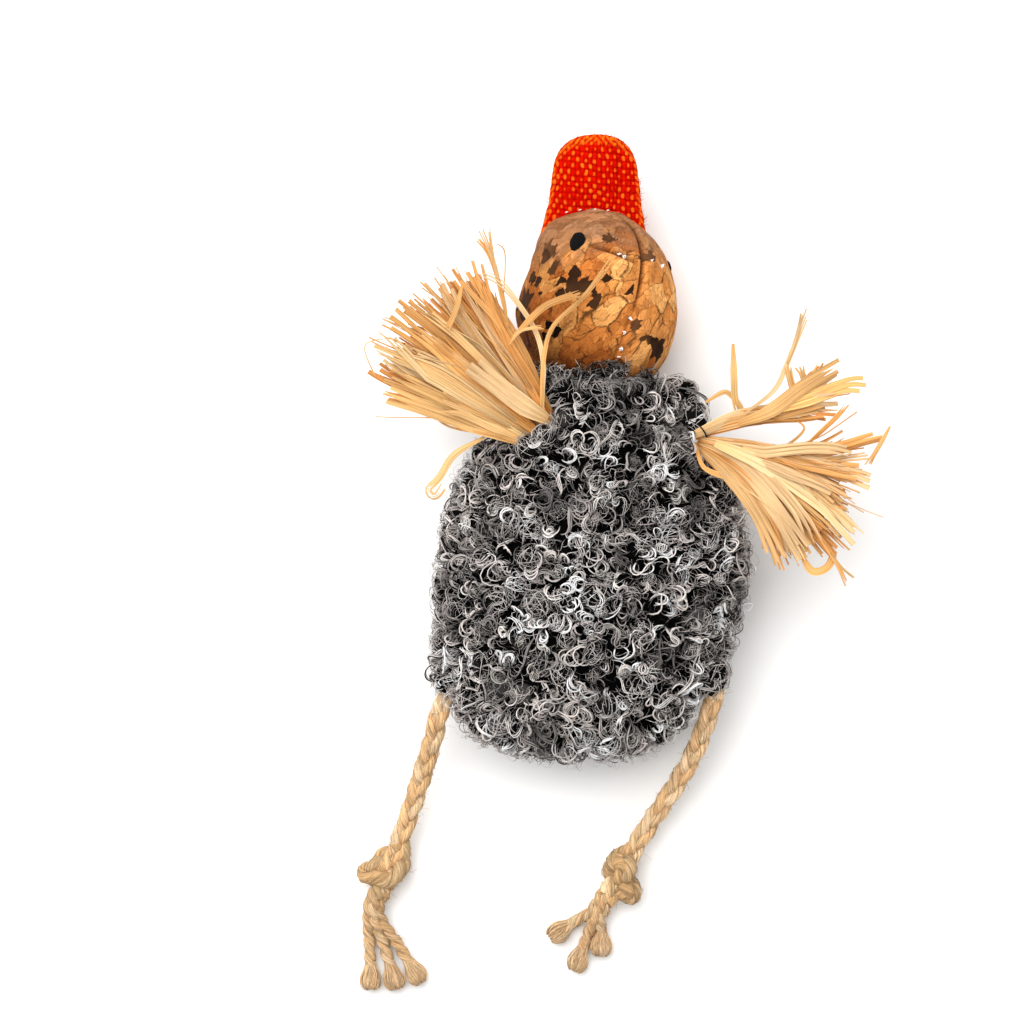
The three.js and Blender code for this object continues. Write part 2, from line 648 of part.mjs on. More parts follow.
function addLeg(name, leg) {
  const root = legRoot(leg);
  addPiece(`${name}_leg_root`, cleaned(ball(LEG_ROOT_RADIUS, root)), jute);
  const route = leg.route.map(([across, along, share]) => {
    const height = THREE.MathUtils.lerp(KNOT_RADIUS, MID_Z, share);
    return new THREE.Vector3(root.x + across, root.y + along, height);
  });
  addPiece(`${name}_leg_rope`, tube(route, ROPE_RADIUS, CORD_SIDES, ROPE_STEPS), jute);
  const end = route.at(-1);
  const direction = new THREE.Vector3().subVectors(end, route.at(-2)).setZ(0).normalize();
  const knotStart = end.clone().addScaledVector(direction, CLEARANCE);
  addPiece(`${name}_foot_knot`, knot(knotStart, direction), jute);
  const toeStart = knotStart.clone().addScaledVector(direction, KNOT_LENGTH + CLEARANCE);
  const side = new THREE.Vector3(-direction.y, direction.x, 0);
  const places = {
    outer: [leg.side, 0, SIDE_TOE_DROP],
    middle: [0, 1, MIDDLE_TOE_DROP],
    inner: [-leg.side, 0, SIDE_TOE_DROP],
  };
  for (const [place, [across, up, dropFrom]] of Object.entries(places)) {
    const start = toeStart.clone().addScaledVector(side, (across * TOE_SPACING) / 2);
    start.z += (up - 0.5) * TOE_SPACING * TOE_STACK;
    const [endX, endY] = leg.toes[place];
    const tip = new THREE.Vector3(root.x + endX, root.y + endY, 0);
    addPiece(`${name}_toe_${place}`, toe(start, direction, tip, dropFrom), jute);
  }
}

addBodyCover();
addNeck(addBodyFilling());
addHead();
addBill();
addPiece('left_wing_raffia', toGeometry(wingSolid(LEFT_WING)), raffia);
addPiece('right_wing_raffia', toGeometry(wingSolid(RIGHT_WING)), raffia);
addLeg('left', LEFT_LEG);
addLeg('right', RIGHT_LEG);

export default duck;
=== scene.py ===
import json
import math

import bpy
import numpy as np
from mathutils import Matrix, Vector, noise
from mathutils.bvhtree import BVHTree


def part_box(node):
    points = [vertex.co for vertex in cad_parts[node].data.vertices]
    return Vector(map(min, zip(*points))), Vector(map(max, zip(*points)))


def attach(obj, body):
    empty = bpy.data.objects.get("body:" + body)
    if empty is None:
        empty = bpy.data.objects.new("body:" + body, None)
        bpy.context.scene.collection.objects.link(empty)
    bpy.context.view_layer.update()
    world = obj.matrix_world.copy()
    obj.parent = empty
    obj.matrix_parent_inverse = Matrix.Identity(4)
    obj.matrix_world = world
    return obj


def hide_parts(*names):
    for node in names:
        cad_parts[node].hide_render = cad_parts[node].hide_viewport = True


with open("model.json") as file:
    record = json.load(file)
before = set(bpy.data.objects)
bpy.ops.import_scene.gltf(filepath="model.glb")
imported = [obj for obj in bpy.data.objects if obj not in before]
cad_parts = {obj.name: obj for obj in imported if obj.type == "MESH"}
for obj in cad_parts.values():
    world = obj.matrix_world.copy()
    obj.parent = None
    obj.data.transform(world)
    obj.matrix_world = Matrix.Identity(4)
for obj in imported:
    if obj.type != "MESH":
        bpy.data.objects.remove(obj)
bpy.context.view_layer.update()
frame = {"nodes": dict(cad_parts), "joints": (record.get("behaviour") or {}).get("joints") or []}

# Studio: the toy lies on its back on a pale floor. A long lens looks straight down on it, with the middle
# and width of the photograph's view, in soft light from the upper left.
MM = 0.001
VIEW_MIDDLE = Vector((-14.04, 11.34, 14.6)) * MM
VIEW_WIDTH = 184.3 * MM
VIEW_DISTANCE = 1.0
FLOOR_SIZE = 6.0
FLOOR_DROP = 0.2 * MM
FLOOR_COLOUR, FLOOR_SHADE = (0.93, 0.925, 0.915, 1), (0.92, 0.915, 0.905, 1)
SKY_STRENGTH = 0.72
KEY_PLACE = Vector((-0.35, 0.5, 1.15))
KEY_SIZE = 1.3
KEY_POWER = 25.0


def place_node(tree, kind, inputs=(), **settings):
    """Adds a node, with its settings and with its inputs linked or set."""
    node = tree.nodes.new(kind)
    for name, value in settings.items():
        setattr(node, name, value)
    for name, value in dict(inputs).items():
        if isinstance(value, bpy.types.NodeSocket):
            tree.links.new(value, node.inputs[name])
        else:
            node.inputs[name].default_value = value
    return node


def colour_mix(tree, share, first, second, blend="MIX"):
    """A mix of two colours, or of a colour and a value."""
    sockets = {0: share, 6: first, 7: second}
    return place_node(tree, "ShaderNodeMix", sockets, data_type="RGBA", blend_type=blend).outputs[2]


def new_material(name, **shader):
    """A material with a Principled shader, and its node tree."""
    material = bpy.data.materials.new(name)
    material.use_nodes = True
    principled = material.node_tree.nodes["Principled BSDF"]
    for socket, value in shader.items():
        principled.inputs[socket.replace("_", " ")].default_value = value
    return material, material.node_tree, principled


bpy.ops.object.select_all(action="DESELECT")
bpy.ops.object.camera_add(location=VIEW_MIDDLE + Vector((0, 0, VIEW_DISTANCE)), rotation=(0, 0, 0))
camera = bpy.context.object
camera.data.lens = camera.data.sensor_width * VIEW_DISTANCE / VIEW_WIDTH
bpy.context.scene.camera = camera
bpy.context.scene.view_settings.view_transform = "Standard"

bpy.ops.mesh.primitive_plane_add(size=FLOOR_SIZE, location=(0, 0, -FLOOR_DROP))
floor = bpy.context.object
floor.name = "floor"
floor_material, floor_tree, floor_shader = new_material("pale_floor", Roughness=0.9)
floor_noise = place_node(floor_tree, "ShaderNodeTexNoise", {"Scale": 3.0, "Detail": 2.0})
floor_tone = colour_mix(floor_tree, floor_noise.outputs["Fac"], FLOOR_COLOUR, FLOOR_SHADE)
floor_tree.links.new(floor_tone, floor_shader.inputs["Base Color"])
floor.data.materials.append(floor_material)

bpy.ops.object.light_add(type="AREA", location=KEY_PLACE)
key_light = bpy.context.object
key_light.data.size = KEY_SIZE
key_light.data.energy = KEY_POWER
key_light.rotation_euler = (VIEW_MIDDLE - KEY_PLACE).to_track_quat("-Z", "Y").to_euler()
sky = bpy.data.worlds.new("studio_sky")
sky.use_nodes = True
sky.node_tree.nodes["Background"].inputs["Color"].default_value = (1, 1, 1, 1)
sky.node_tree.nodes["Background"].inputs["Strength"].default_value = SKY_STRENGTH
bpy.context.scene.world = sky


# Legs: each is a plait of three soft jute yarns, sewn into the bottom seam and tied in an overhand knot, past
# which its three yarns run on as toes with puffed, cut ends. The routes are the ones that the solids follow:
# offsets from the sewn end, and the share of the drop still to come.
PLAIT_SWING, PLAIT_DEPTH, PLAIT_PERIOD = 0.85 * MM, 0.6 * MM, 14.5 * MM
YARN_RADIUS, YARN_SIDES, YARN_TWIST = 0.92 * MM, 12, 640
STRAY_RADIUS, STRAY_POINTS = 0.045 * MM, 12
ROPE_STRAYS, KNOT_STRAYS, TOE_STRAYS, SEWN_STRAYS = 480, 300, 60, 40
HAIR_RADIUS, HAIR_POINTS = 0.03 * MM, 7
ROPE_HAIRS, KNOT_HAIRS, TOE_HAIRS = 90, 40, 12
FIBRE_FLOOR = 0.1 * MM
ROPE_POINTS, KNOT_POINTS, TOE_POINTS, PUFF_POINTS = 130, 150, 46, 14
KNOT_CENTRE_HEIGHT, KNOT_FLOOR = 4.0 * MM, 1.95 * MM
KNOT_LENGTH, KNOT_SIZE, KNOT_OVERLAP = 8.2 * MM, 1.2 * MM, 1.2 * MM
KNOT_PLAIT_DEPTH, KNOT_PLAIT_PERIOD = 0.55 * MM, 13.0 * MM
KNOT_YARN_RADIUS = 1.25 * YARN_RADIUS
TOE_PLY_RADIUS, TOE_PLY_OFFSET, TOE_PITCH = 0.66 * MM, 0.44 * MM, -4.8 * MM
TOE_ASIDE, TOE_ABOVE = 1.0 * MM, 0.9 * MM
TOE_SUNK, TOE_TOGETHER, TOE_DIP = 1.5 * MM, 5.5 * MM, 1.0 * MM
TOE_PARTED_HEIGHT, TOE_TIP_HEIGHT = 1.6 * MM, 1.75 * MM
PUFF_LENGTH, PUFF_SUNK, PUFF_FLOOR = 5.0 * MM, 3.2 * MM, 0.12 * MM
PUFF_WIDEST, PUFF_ROUNDING = 0.72, 0.33
PUFF_FIBRES, PUFF_FIBRE_RADIUS = 150, 0.07 * MM
SEWN_REACH, SEWN_DIVE, SEWN_OUT = 3.4 * MM, 2.4 * MM, 2.1 * MM
SEWN_YARN_ANGLES = (0.3, 2.4, 4.5)
LEGS = {
    "left": {
        "side": -1,
        "route": [(-0.8, -2.6, 1), (-1.6, -6.2, 0.88), (-2.6, -9.6, 0.7), (-3.6, -12.8, 0.5),
                  (-4.8, -16.6, 0.29), (-6.0, -20.2, 0.14), (-7.2, -23.6, 0.05), (-8.4, -26.8, 0)],
        "toes": {"outer": (-13.2, -50.8), "middle": (-9.0, -50.8), "inner": (-5.0, -49.9)},
        "knot_roll": 0.5,
        "seed": 31,
    },
    "right": {
        "side": 1,
        "route": [(-0.5, -2.7, 1), (-1.6, -6.2, 0.88), (-3.2, -10.6, 0.66), (-5.3, -14.8, 0.45),
                  (-7.7, -18.8, 0.28), (-10.2, -22.6, 0.15), (-12.7, -26.4, 0.06), (-14.9, -30.2, 0)],
        "toes": {"outer": (-20.2, -46.8), "middle": (-24.4, -49.6), "inner": (-27.9, -44.4)},
        "knot_roll": 3.9,
        "seed": 37,
    },
}
JUTE_TONES = [(0.84, 0.56, 0.31), (0.77, 0.48, 0.24), (0.88, 0.64, 0.4)]
# Painted light and shade on the one jute: lighter on the rope, darker in the shade of the tight knot and a
# little on the toes
ROPE_PAINTED_LIGHT, KNOT_PAINTED_SHADE, TOE_PAINTED_SHADE = np.array([[1.13, 1.1, 1.06], [0.76, 0.69, 0.57], [0.98, 0.94, 0.89]])


def joint_place(name):
    """Where a joint of the part lies."""
    return next(joint["pos_m"] for joint in frame["joints"] if joint["name"] == name)


LEG_HEIGHT = joint_place("left_leg_lift")[2]


def unit(vectors):
    """Vectors drawn out or in to a length of one."""
    return vectors / np.maximum(np.linalg.norm(vectors, axis=-1, keepdims=True), 1e-12)


def smooth_line(points, count):
    """Evenly spaced points on a smooth curve through the given ones."""
    points = np.asarray(points, float)
    ends = np.vstack([2 * points[0] - points[1], points, 2 * points[-1] - points[-2]])
    places = np.linspace(0, len(points) - 1, 16 * len(points))
    segment = np.minimum(places.astype(int), len(points) - 2)
    t = (places - segment)[:, None]
    a, b, c, d = (ends[segment + k] for k in range(4))
    curve = 0.5 * (2 * b + (c - a) * t + (2 * a - 5 * b + 4 * c - d) * t**2 + (3 * b - 3 * c + d - a) * t**3)
    run = np.concatenate([[0], np.cumsum(np.linalg.norm(np.diff(curve, axis=0), axis=1))])
    even = np.linspace(0, run[-1], count)
    return np.stack([np.interp(even, run, curve[:, k]) for k in range(3)], axis=1)


def carried_frames(lines):
    """Normals and binormals that go along each line without twisting, for an array of strands by points."""
    tangents = unit(np.gradient(lines, axis=1))
    upright = np.abs(tangents[:, 0, 2:]) < 0.8
    normal = np.cross(tangents[:, 0], np.where(upright, [[0.0, 0, 1]], [[1.0, 0, 0]]))
    normals = np.empty_like(lines)
    for step in range(lines.shape[1]):
        tangent = tangents[:, step]
        normal = unit(normal - (normal * tangent).sum(1, keepdims=True) * tangent)
        normals[:, step] = normal
    return normals, np.cross(tangents, normals)


def lengths_along(lines):
    """How far along its line each point lies."""
    steps = np.linalg.norm(np.diff(lines, axis=1), axis=2)
    return np.concatenate([np.zeros((len(lines), 1)), np.cumsum(steps, axis=1)], axis=1)


def off_floor(points, height):
    """Lifts the points that lie lower than a height above the floor."""
    points[..., 2] = np.maximum(points[..., 2], height)
    return points


def ring_faces(count, points, sides):
    """Faces between the rings of each strand, and over its two ends."""
    side = np.arange(sides)
    following = (side + 1) % sides
    strand = np.arange(count)[:, None] * points * sides
    ring = (strand + np.arange(points - 1) * sides)[..., None]
    quads = np.stack([ring + side, ring + following, ring + sides + following, ring + sides + side], axis=3)
    last = strand + (points - 1) * sides
    return quads.reshape(-1, 4).tolist() + (strand + side[::-1]).tolist() + (last + side).tolist()


def strand_part(lines, radii, sides, tones, twist=0.0):
    """Round strands along lines: corners, faces, each corner's tone and its place in the strand's lay."""
    count, points = lines.shape[:2]
    radii = np.broadcast_to(radii, (count, points))[..., None]
    normals, across = carried_frames(lines)
    along = lengths_along(lines)
    angles = 2 * np.pi * np.arange(sides) / sides
    spokes = np.cos(angles)[:, None] * normals[:, :, None] + np.sin(angles)[:, None] * across[:, :, None]
    corners = lines[:, :, None] + radii[..., None] * spokes
    turned = angles + twist * along[..., None]
    lay = np.stack([radii * np.cos(turned), radii * np.sin(turned), along[..., None] + 0 * turned], axis=3)
    lay[..., 2] += np.arange(count)[:, None, None] * 7 * MM
    faces = ring_faces(count, points, sides)
    tones = np.broadcast_to(np.asarray(tones, float)[:, None, None], (count, points, sides, 3))
    return corners.reshape(-1, 3), faces, tones.reshape(-1, 3), lay.reshape(-1, 3)


def add_mesh_piece(name, parts, material):
    """One smooth mesh object of several parts, with their tones and lays as attributes."""
    corners, faces, tones, lays, first = [], [], [], [], 0
    for part_corners, part_faces, part_tones, part_lay in parts:
        corners.append(part_corners)
        faces += [[first + corner for corner in face] for face in part_faces]
        tones.append(part_tones)
        lays.append(part_lay)
        first += len(part_corners)
    mesh = bpy.data.meshes.new(name)
    mesh.from_pydata(np.vstack(corners).tolist(), [], faces)
    mesh.polygons.foreach_set("use_smooth", np.ones(len(mesh.polygons), bool))
    tone = mesh.attributes.new("tone", "FLOAT_COLOR", "POINT")
    colours = np.hstack([np.vstack(tones), np.ones((first, 1))])
    tone.data.foreach_set("color", colours.astype(np.float32).ravel())
    lay = mesh.attributes.new("lay", "FLOAT_VECTOR", "POINT")
    lay.data.foreach_set("vector", np.vstack(lays).astype(np.float32).ravel())
    mesh.materials.append(material)
    piece = bpy.data.objects.new(name, mesh)
    bpy.context.scene.collection.objects.link(piece)
    return piece


def in_range(tree, value, low, high, start=0.0, end=1.0):
    """A value's place between a low and a high one, held between start and end."""
    sockets = {"Value": value, "From Min": low, "From Max": high, "To Min": start, "To Max": end}
    return place_node(tree, "ShaderNodeMapRange", sockets).outputs[0]


def worked(tree, operation, *values):
    """The result of a sum on two or three values."""
    return place_node(tree, "ShaderNodeMath", dict(enumerate(values)), operation=operation).outputs[0]


def vectors_worked(tree, operation, *values):
    """A node for a sum on two or three vectors."""
    return place_node(tree, "ShaderNodeVectorMath", dict(enumerate(values)), operation=operation)


def new_group(name, inputs, outputs):
    """A node group with its sockets, the values it is given and the places of its results."""
    group = bpy.data.node_groups.new(name, "ShaderNodeTree")
    for way, sockets in (("INPUT", inputs), ("OUTPUT", outputs)):
        for socket, kind in sockets.items():
            group.interface.new_socket(socket, in_out=way, socket_type=f"NodeSocket{kind}")
    given, results = group.nodes.new("NodeGroupInput"), group.nodes.new("NodeGroupOutput")
    return group, given.outputs, results.inputs


def fibre_group():
    """A node group of streaks that run along a strand's lay, from 0 to 1."""
    group, given, results = new_group("fibre_streaks", {"Fineness": "Float", "Stretch": "Float"},
                                      {"Streak": "Float"})
    lay = place_node(group, "ShaderNodeAttribute", attribute_name="lay")
    fineness = given["Fineness"]
    along = worked(group, "DIVIDE", fineness, given["Stretch"])
    scale = place_node(group, "ShaderNodeCombineXYZ", {0: fineness, 1: fineness, 2: along})
    place = vectors_worked(group, "MULTIPLY", lay.outputs["Vector"], scale.outputs[0])
    fine = {"Vector": place.outputs[0], "Scale": 1.0, "Detail": 3.0, "Roughness": 0.6}
    grain = place_node(group, "ShaderNodeTexNoise", fine)
    group.links.new(in_range(group, grain.outputs["Fac"], 0.3, 0.7), results["Streak"])
    return group


fibre_streaks = fibre_group()


def strand_material(name, fineness, stretch, shade, depth, **shader):
    """Fibres along a strand: streaks raised by a depth, and a tone darkened between them by a shade that is
    partly the fibres' own and partly painted shade in the grooves.
    """
    material, tree, principled = new_material(name, **shader)
    fibres = {"Fineness": fineness, "Stretch": stretch}
    streaks = place_node(tree, "ShaderNodeGroup", fibres, node_tree=fibre_streaks)
    tone = place_node(tree, "ShaderNodeAttribute", attribute_name="tone")
    light = in_range(tree, streaks.outputs[0], 0.0, 1.0, 1 - shade, 1 + 0.3 * shade)
    colour = colour_mix(tree, 1.0, tone.outputs["Color"], light, "MULTIPLY")
    bump = place_node(tree, "ShaderNodeBump", {"Distance": depth, "Height": streaks.outputs[0]})
    tree.links.new(colour, principled.inputs["Base Color"])
    tree.links.new(bump.outputs[0], principled.inputs["Normal"])
    return material


def tones_near(colours, count, spread, draw):
    """A tone for each strand, picked from a few colours and made a little lighter or darker."""
    picked = np.asarray(colours)[draw.integers(0, len(colours), count)]
    return np.clip(picked * draw.uniform(1 - spread, 1 + spread, (count, 1)), 0, 0.95)


def ply_lines(lines, offset, pitch):
    """The two plies that twist round each strand's line."""
    normals, across = carried_frames(lines)
    turn = 2 * np.pi * lengths_along(lines) / pitch
    plies = []
    for phase in (0, np.pi):
        swing = np.cos(turn + phase)[..., None] * normals + np.sin(turn + phase)[..., None] * across
        plies.append(lines + offset * swing)
    return np.concatenate(plies)


def plait_strands(line, swing, depth, period):
    """The three strands of a flat plait that follows a line."""
    route = line[None]
    normals, across = carried_frames(route)
    phase = 2 * np.pi * lengths_along(route)[..., None] / period
    strands = [route + swing * np.sin(phase + 2 * np.pi * k / 3) * normals
               + depth * np.sin(2 * (phase + 2 * np.pi * k / 3)) * across for k in range(3)]
    return np.concatenate(strands)


def yarn_parts(lines, radius, fibres, painted_light_and_shade, draw):
    """Soft yarns along lines, whose fibres run round them, with stray fibres that lie on them, their tones
    scaled by painted light and shade.
    """
    yarn_tones = painted_light_and_shade * tones_near(JUTE_TONES, len(lines), 0.06, draw)
    yarns = strand_part(lines, radius, YARN_SIDES, yarn_tones, YARN_TWIST)
    yarn = draw.integers(0, len(lines), fibres)[:, None]
    place = draw.integers(0, lines.shape[1] - STRAY_POINTS, fibres)[:, None] + np.arange(STRAY_POINTS)
    normals, across = carried_frames(lines)
    angle = draw.uniform(0, 2 * np.pi, (fibres, 1)) - YARN_TWIST * lengths_along(lines)[yarn, place]
    lifted = radius * (1.02 + draw.uniform(0, 0.3, (fibres, 1)) * np.linspace(-1, 1, STRAY_POINTS)**2)
    strays = (lines[yarn, place] + (lifted * np.cos(angle))[..., None] * normals[yarn, place]
              + (lifted * np.sin(angle))[..., None] * across[yarn, place])
    stray_tones = painted_light_and_shade * tones_near(JUTE_TONES, fibres, 0.5, draw)
    return [yarns, strand_part(off_floor(strays, FIBRE_FLOOR), STRAY_RADIUS, 3, stray_tones)]


def hair_part(line, reach, count, long, tones, draw):
    """Loose hairs that stand off a line and curl."""
    start = line[draw.integers(0, len(line), count)]
    away = unit(draw.normal(size=(count, 3)))
    bend = unit(draw.normal(size=(count, 3)))
    length = draw.uniform(0.4, 1, (count, 1, 1)) * long
    u = np.linspace(0, 1, HAIR_POINTS)[None, :, None]
    lines = (start + reach * away)[:, None] + length * (u * away[:, None] + 0.6 * u**2 * bend[:, None])
    return strand_part(off_floor(lines, FIBRE_FLOOR), HAIR_RADIUS, 3, tones_near(tones, count, 0.15, draw))


def puffed_end(tip, direction, draw):
    """The cut end of a yarn, puffed out into a rounded brush: a soft core and the fibres round it."""
    u = np.linspace(0, 1, PUFF_POINTS)
    swell = YARN_RADIUS * (0.95 + 1.05 * np.sin(0.5 * np.pi * np.minimum(u / PUFF_WIDEST, 1))**2)
    swell = swell * np.sqrt(np.clip(1 - (np.maximum(u - PUFF_WIDEST, 0) / PUFF_ROUNDING)**2, 0.02, 1))
    line = tip + (u[:, None] * PUFF_LENGTH - PUFF_SUNK) * direction
    core_tones = tones_near(JUTE_TONES, 1, 0.05, draw)
    core = strand_part(line[None], 0.9 * swell[None], 16, core_tones, 0.3 * YARN_TWIST)
    off_floor(core[0], PUFF_FLOOR)
    each = (PUFF_FIBRES, 1)
    angle = draw.uniform(0, 2 * np.pi, each) + draw.normal(0, 0.35, each) * u
    side = unit(np.cross(direction, [0, 0, 1]))
    spoke = np.cos(angle)[..., None] * side + np.sin(angle)[..., None] * np.cross(side, direction)
    reach = tip + (u * draw.uniform(0.9, 1.05, each) * PUFF_LENGTH - PUFF_SUNK)[..., None] * direction
    fibres = reach + (swell * draw.uniform(0.8, 1.1, each))[..., None] * spoke
    fibre_tones = tones_near(JUTE_TONES, PUFF_FIBRES, 0.22, draw)
    return [core, strand_part(off_floor(fibres, FIBRE_FLOOR), PUFF_FIBRE_RADIUS, 4, fibre_tones)]


jute = strand_material("jute", fineness=4200, stretch=14, shade=0.62, depth=0.15 * MM, Roughness=0.85,
                       Specular_IOR_Level=0.25)


def leg_route(name):
    """The sewn end, the plait's route from it, and the way that the foot points."""
    root = np.array(joint_place(f"{name}_leg_lift"))
    points = [root]
    for across, along, share in LEGS[name]["route"]:
        height = KNOT_CENTRE_HEIGHT + share * (LEG_HEIGHT - KNOT_CENTRE_HEIGHT)
        points.append(np.array([root[0] + across * MM, root[1] + along * MM, height]))
    foot = points[-1] - points[-2]
    foot[2] = 0
    return root, points, foot / np.linalg.norm(foot)


def knot_line(start, foot, roll):
    """An overhand knot pulled tight, from the plait's end to where the toes leave."""
    t = np.linspace(-1.92, 1.92, 90)[:, None]
    along, across, up = t**3 - 3 * t, t**4 - 4 * t**2 + 1.7, t**5 / 5 - 2 * t
    aside = math.cos(roll) * across - math.sin(roll) * up
    above = math.sin(roll) * across + math.cos(roll) * up
    middle = start + 0.5 * KNOT_LENGTH * foot
    upwards = np.array([0, 0, 1])
    loop = middle + KNOT_SIZE * (along * foot + aside * np.cross(upwards, foot) + above * upwards)
    past = start + (KNOT_LENGTH + KNOT_OVERLAP) * foot
    whole = np.vstack([start - KNOT_OVERLAP * foot, loop[::3], past])
    return off_floor(smooth_line(whole, KNOT_POINTS), KNOT_FLOOR)


def toe_line(start, foot, across, up, tip):
    """A toe that leaves the knot beside its fellows, then parts from them and comes down to the floor."""
    side = np.cross([0, 0, 1], foot)
    begin = start - TOE_SUNK * foot + across * side + np.array([0, 0, up])
    beside = begin + TOE_TOGETHER * foot - np.array([0, 0, TOE_DIP + up / 2])
    parted = 0.45 * beside + 0.55 * tip
    parted[2] = TOE_PARTED_HEIGHT
    return smooth_line([begin, beside, parted, tip], TOE_POINTS)


for name, leg in LEGS.items():
    draw = np.random.default_rng(leg["seed"])
    root, points, foot = leg_route(name)
    knot_start = points[-1]
    cord_line = smooth_line(points + [knot_start + KNOT_LENGTH * foot], ROPE_POINTS)
    plait = plait_strands(cord_line, PLAIT_SWING, PLAIT_DEPTH, PLAIT_PERIOD)
    rope_parts = yarn_parts(plait, YARN_RADIUS, ROPE_STRAYS, ROPE_PAINTED_LIGHT, draw)
    rope_parts.append(hair_part(cord_line[:100], 1.3 * MM, ROPE_HAIRS, 1.8 * MM, JUTE_TONES, draw))
    rope = add_mesh_piece(f"{name}_leg_plait", rope_parts, jute)
    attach(rope, f"{name}_leg")
    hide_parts(f"{name}_leg_rope")

    knot_route = knot_line(knot_start, foot, leg["knot_roll"])
    knot_plait = plait_strands(knot_route, PLAIT_SWING, KNOT_PLAIT_DEPTH, KNOT_PLAIT_PERIOD)
    knot_parts = yarn_parts(knot_plait, KNOT_YARN_RADIUS, KNOT_STRAYS, KNOT_PAINTED_SHADE, draw)
    knot_parts.append(hair_part(knot_route, 1.4 * MM, KNOT_HAIRS, 2.0 * MM, JUTE_TONES, draw))
    knot = add_mesh_piece(f"{name}_knot_turns", knot_parts, jute)
    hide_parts(f"{name}_foot_knot")
    foot_pieces = [knot]

    toe_start = knot_start + KNOT_LENGTH * foot
    outward = leg["side"] * TOE_ASIDE
    places = {"outer": (outward, 0.0), "middle": (0.0, TOE_ABOVE), "inner": (-outward, 0.0)}
    for place, (across, up) in places.items():
        tip_across, tip_along = leg["toes"][place]
        tip = np.array([root[0] + tip_across * MM, root[1] + tip_along * MM, TOE_TIP_HEIGHT])
        route = toe_line(toe_start, foot, across, up, tip)
        plies = ply_lines(route[None], TOE_PLY_OFFSET, TOE_PITCH)
        toe_parts = yarn_parts(plies, TOE_PLY_RADIUS, TOE_STRAYS, TOE_PAINTED_SHADE, draw)
        toe_parts += puffed_end(route[-1], unit(route[-1] - route[-6]), draw)
        toe_parts.append(hair_part(route, 0.9 * MM, TOE_HAIRS, 2.0 * MM, JUTE_TONES, draw))
        toe = add_mesh_piece(f"{name}_{place}_toe_yarn", toe_parts, jute)
        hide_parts(f"{name}_toe_{place}")
        foot_pieces.append(toe)
    for piece in foot_pieces:
        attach(piece, f"{name}_leg")

    sewn = np.linspace(-SEWN_REACH, SEWN_OUT, 24)[:, None]
    inward = np.array([-leg["side"] * SEWN_DIVE, 0, 0]) * np.clip(-sewn / SEWN_REACH, 0, 1)**1.5
    sewn_axis = root + sewn * unit(points[1] - root) + inward
    spokes = [np.array([math.cos(angle), 0, math.sin(angle)]) for angle in SEWN_YARN_ANGLES]
    stubs = np.stack([sewn_axis + PLAIT_SWING * spoke for spoke in spokes])
    sewn_parts = yarn_parts(stubs, YARN_RADIUS, SEWN_STRAYS, ROPE_PAINTED_LIGHT, draw)
    sewn_end = add_mesh_piece(f"{name}_leg_sewn_end", sewn_parts, jute)
    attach(sewn_end, f"{name}_leg_base")
    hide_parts(f"{name}_leg_root")


# Body cover: curly black, grey and white boucle cloth, sewn from a front and a back panel and gathered at
# the neck. Its ground is a padded cloth, which lies inside the solids' surface and carries the pile; its
# near-black tone is dark cloth, made darker still as painted shade deep in the pile.
BODY_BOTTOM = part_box("body_front_panel")[0][1]
COLLAR_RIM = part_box("body_front_panel")[1][1]
AXIS_BOTTOM_X, AXIS_TOP_X = -1.2 * MM, 2.6 * MM
BOTTOM_MARGIN, BOTH_MARGINS = 1.6 * MM, 2.0 * MM
CLOTH_INSET, CLOTH_LEAST = 2.3 * MM, 0.5 * MM
CLOTH_LUMP, LUMP_LENGTH = 0.7 * MM, 12 * MM
CLOTH_SIDES, CLOTH_RINGS = 112, 84
RIM_SHARE, RIM_DIP = 0.9, 1.5 * MM
# Near black: a dark cloth, made darker still as painted shade deep in the pile
CLOTH_DARK, CLOTH_LIGHT = (0.0008, 0.0008, 0.0008, 1), (0.003, 0.003, 0.003, 1)


def solid_tree(*names):
    """A tree for casting rays at some of the solids."""
    corners, triangles = [], []
    for name in names:
        mesh = frame["nodes"][name].data
        mesh.calc_loop_triangles()
        first = len(corners)
        corners += [corner.co.copy() for corner in mesh.vertices]
        triangles += [[first + corner for corner in triangle.vertices] for triangle in mesh.loop_triangles]
    return BVHTree.FromPolygons(corners, triangles)


cover_solids = solid_tree("body_front_panel", "body_back_panel")


def cover_point(share, angle):
    """A point of the cloth: a share of the way from the bottom to the rim and over it, at an angle."""
    rise = min(share / RIM_SHARE, 1)
    y = BODY_BOTTOM + BOTTOM_MARGIN + (COLLAR_RIM - BODY_BOTTOM - BOTH_MARGINS) * rise**1.3
    axis = Vector((AXIS_BOTTOM_X + (AXIS_TOP_X - AXIS_BOTTOM_X) * rise, y, LEG_HEIGHT))
    outward = Vector((math.cos(angle), 0, math.sin(angle)))
    hit = cover_solids.ray_cast(axis + 0.1 * outward, -outward)[0]
    radius = max((hit - axis).length - CLOTH_INSET, CLOTH_LEAST) if hit else CLOTH_LEAST
    over = min((1 - share) / (1 - RIM_SHARE), 1)
    lump = CLOTH_LUMP * noise.noise(Vector((outward.x, y / LUMP_LENGTH, outward.z)) * 2.2)
    return axis + outward * (radius * over + lump * over) - Vector((0, RIM_DIP * (1 - over), 0))


bpy.ops.object.select_all(action="DESELECT")
bpy.ops.mesh.primitive_uv_sphere_add(segments=CLOTH_SIDES, ring_count=CLOTH_RINGS, radius=1)
body_cloth = bpy.context.object
body_cloth.name = "body_cover_cloth"
bpy.ops.object.shade_smooth()
for corner in body_cloth.data.vertices:
    share = math.acos(max(-1, min(1, -corner.co.z))) / math.pi
    corner.co = cover_point(share, math.atan2(corner.co.y, corner.co.x) + math.pi / CLOTH_SIDES)
body_cloth.data.flip_normals()


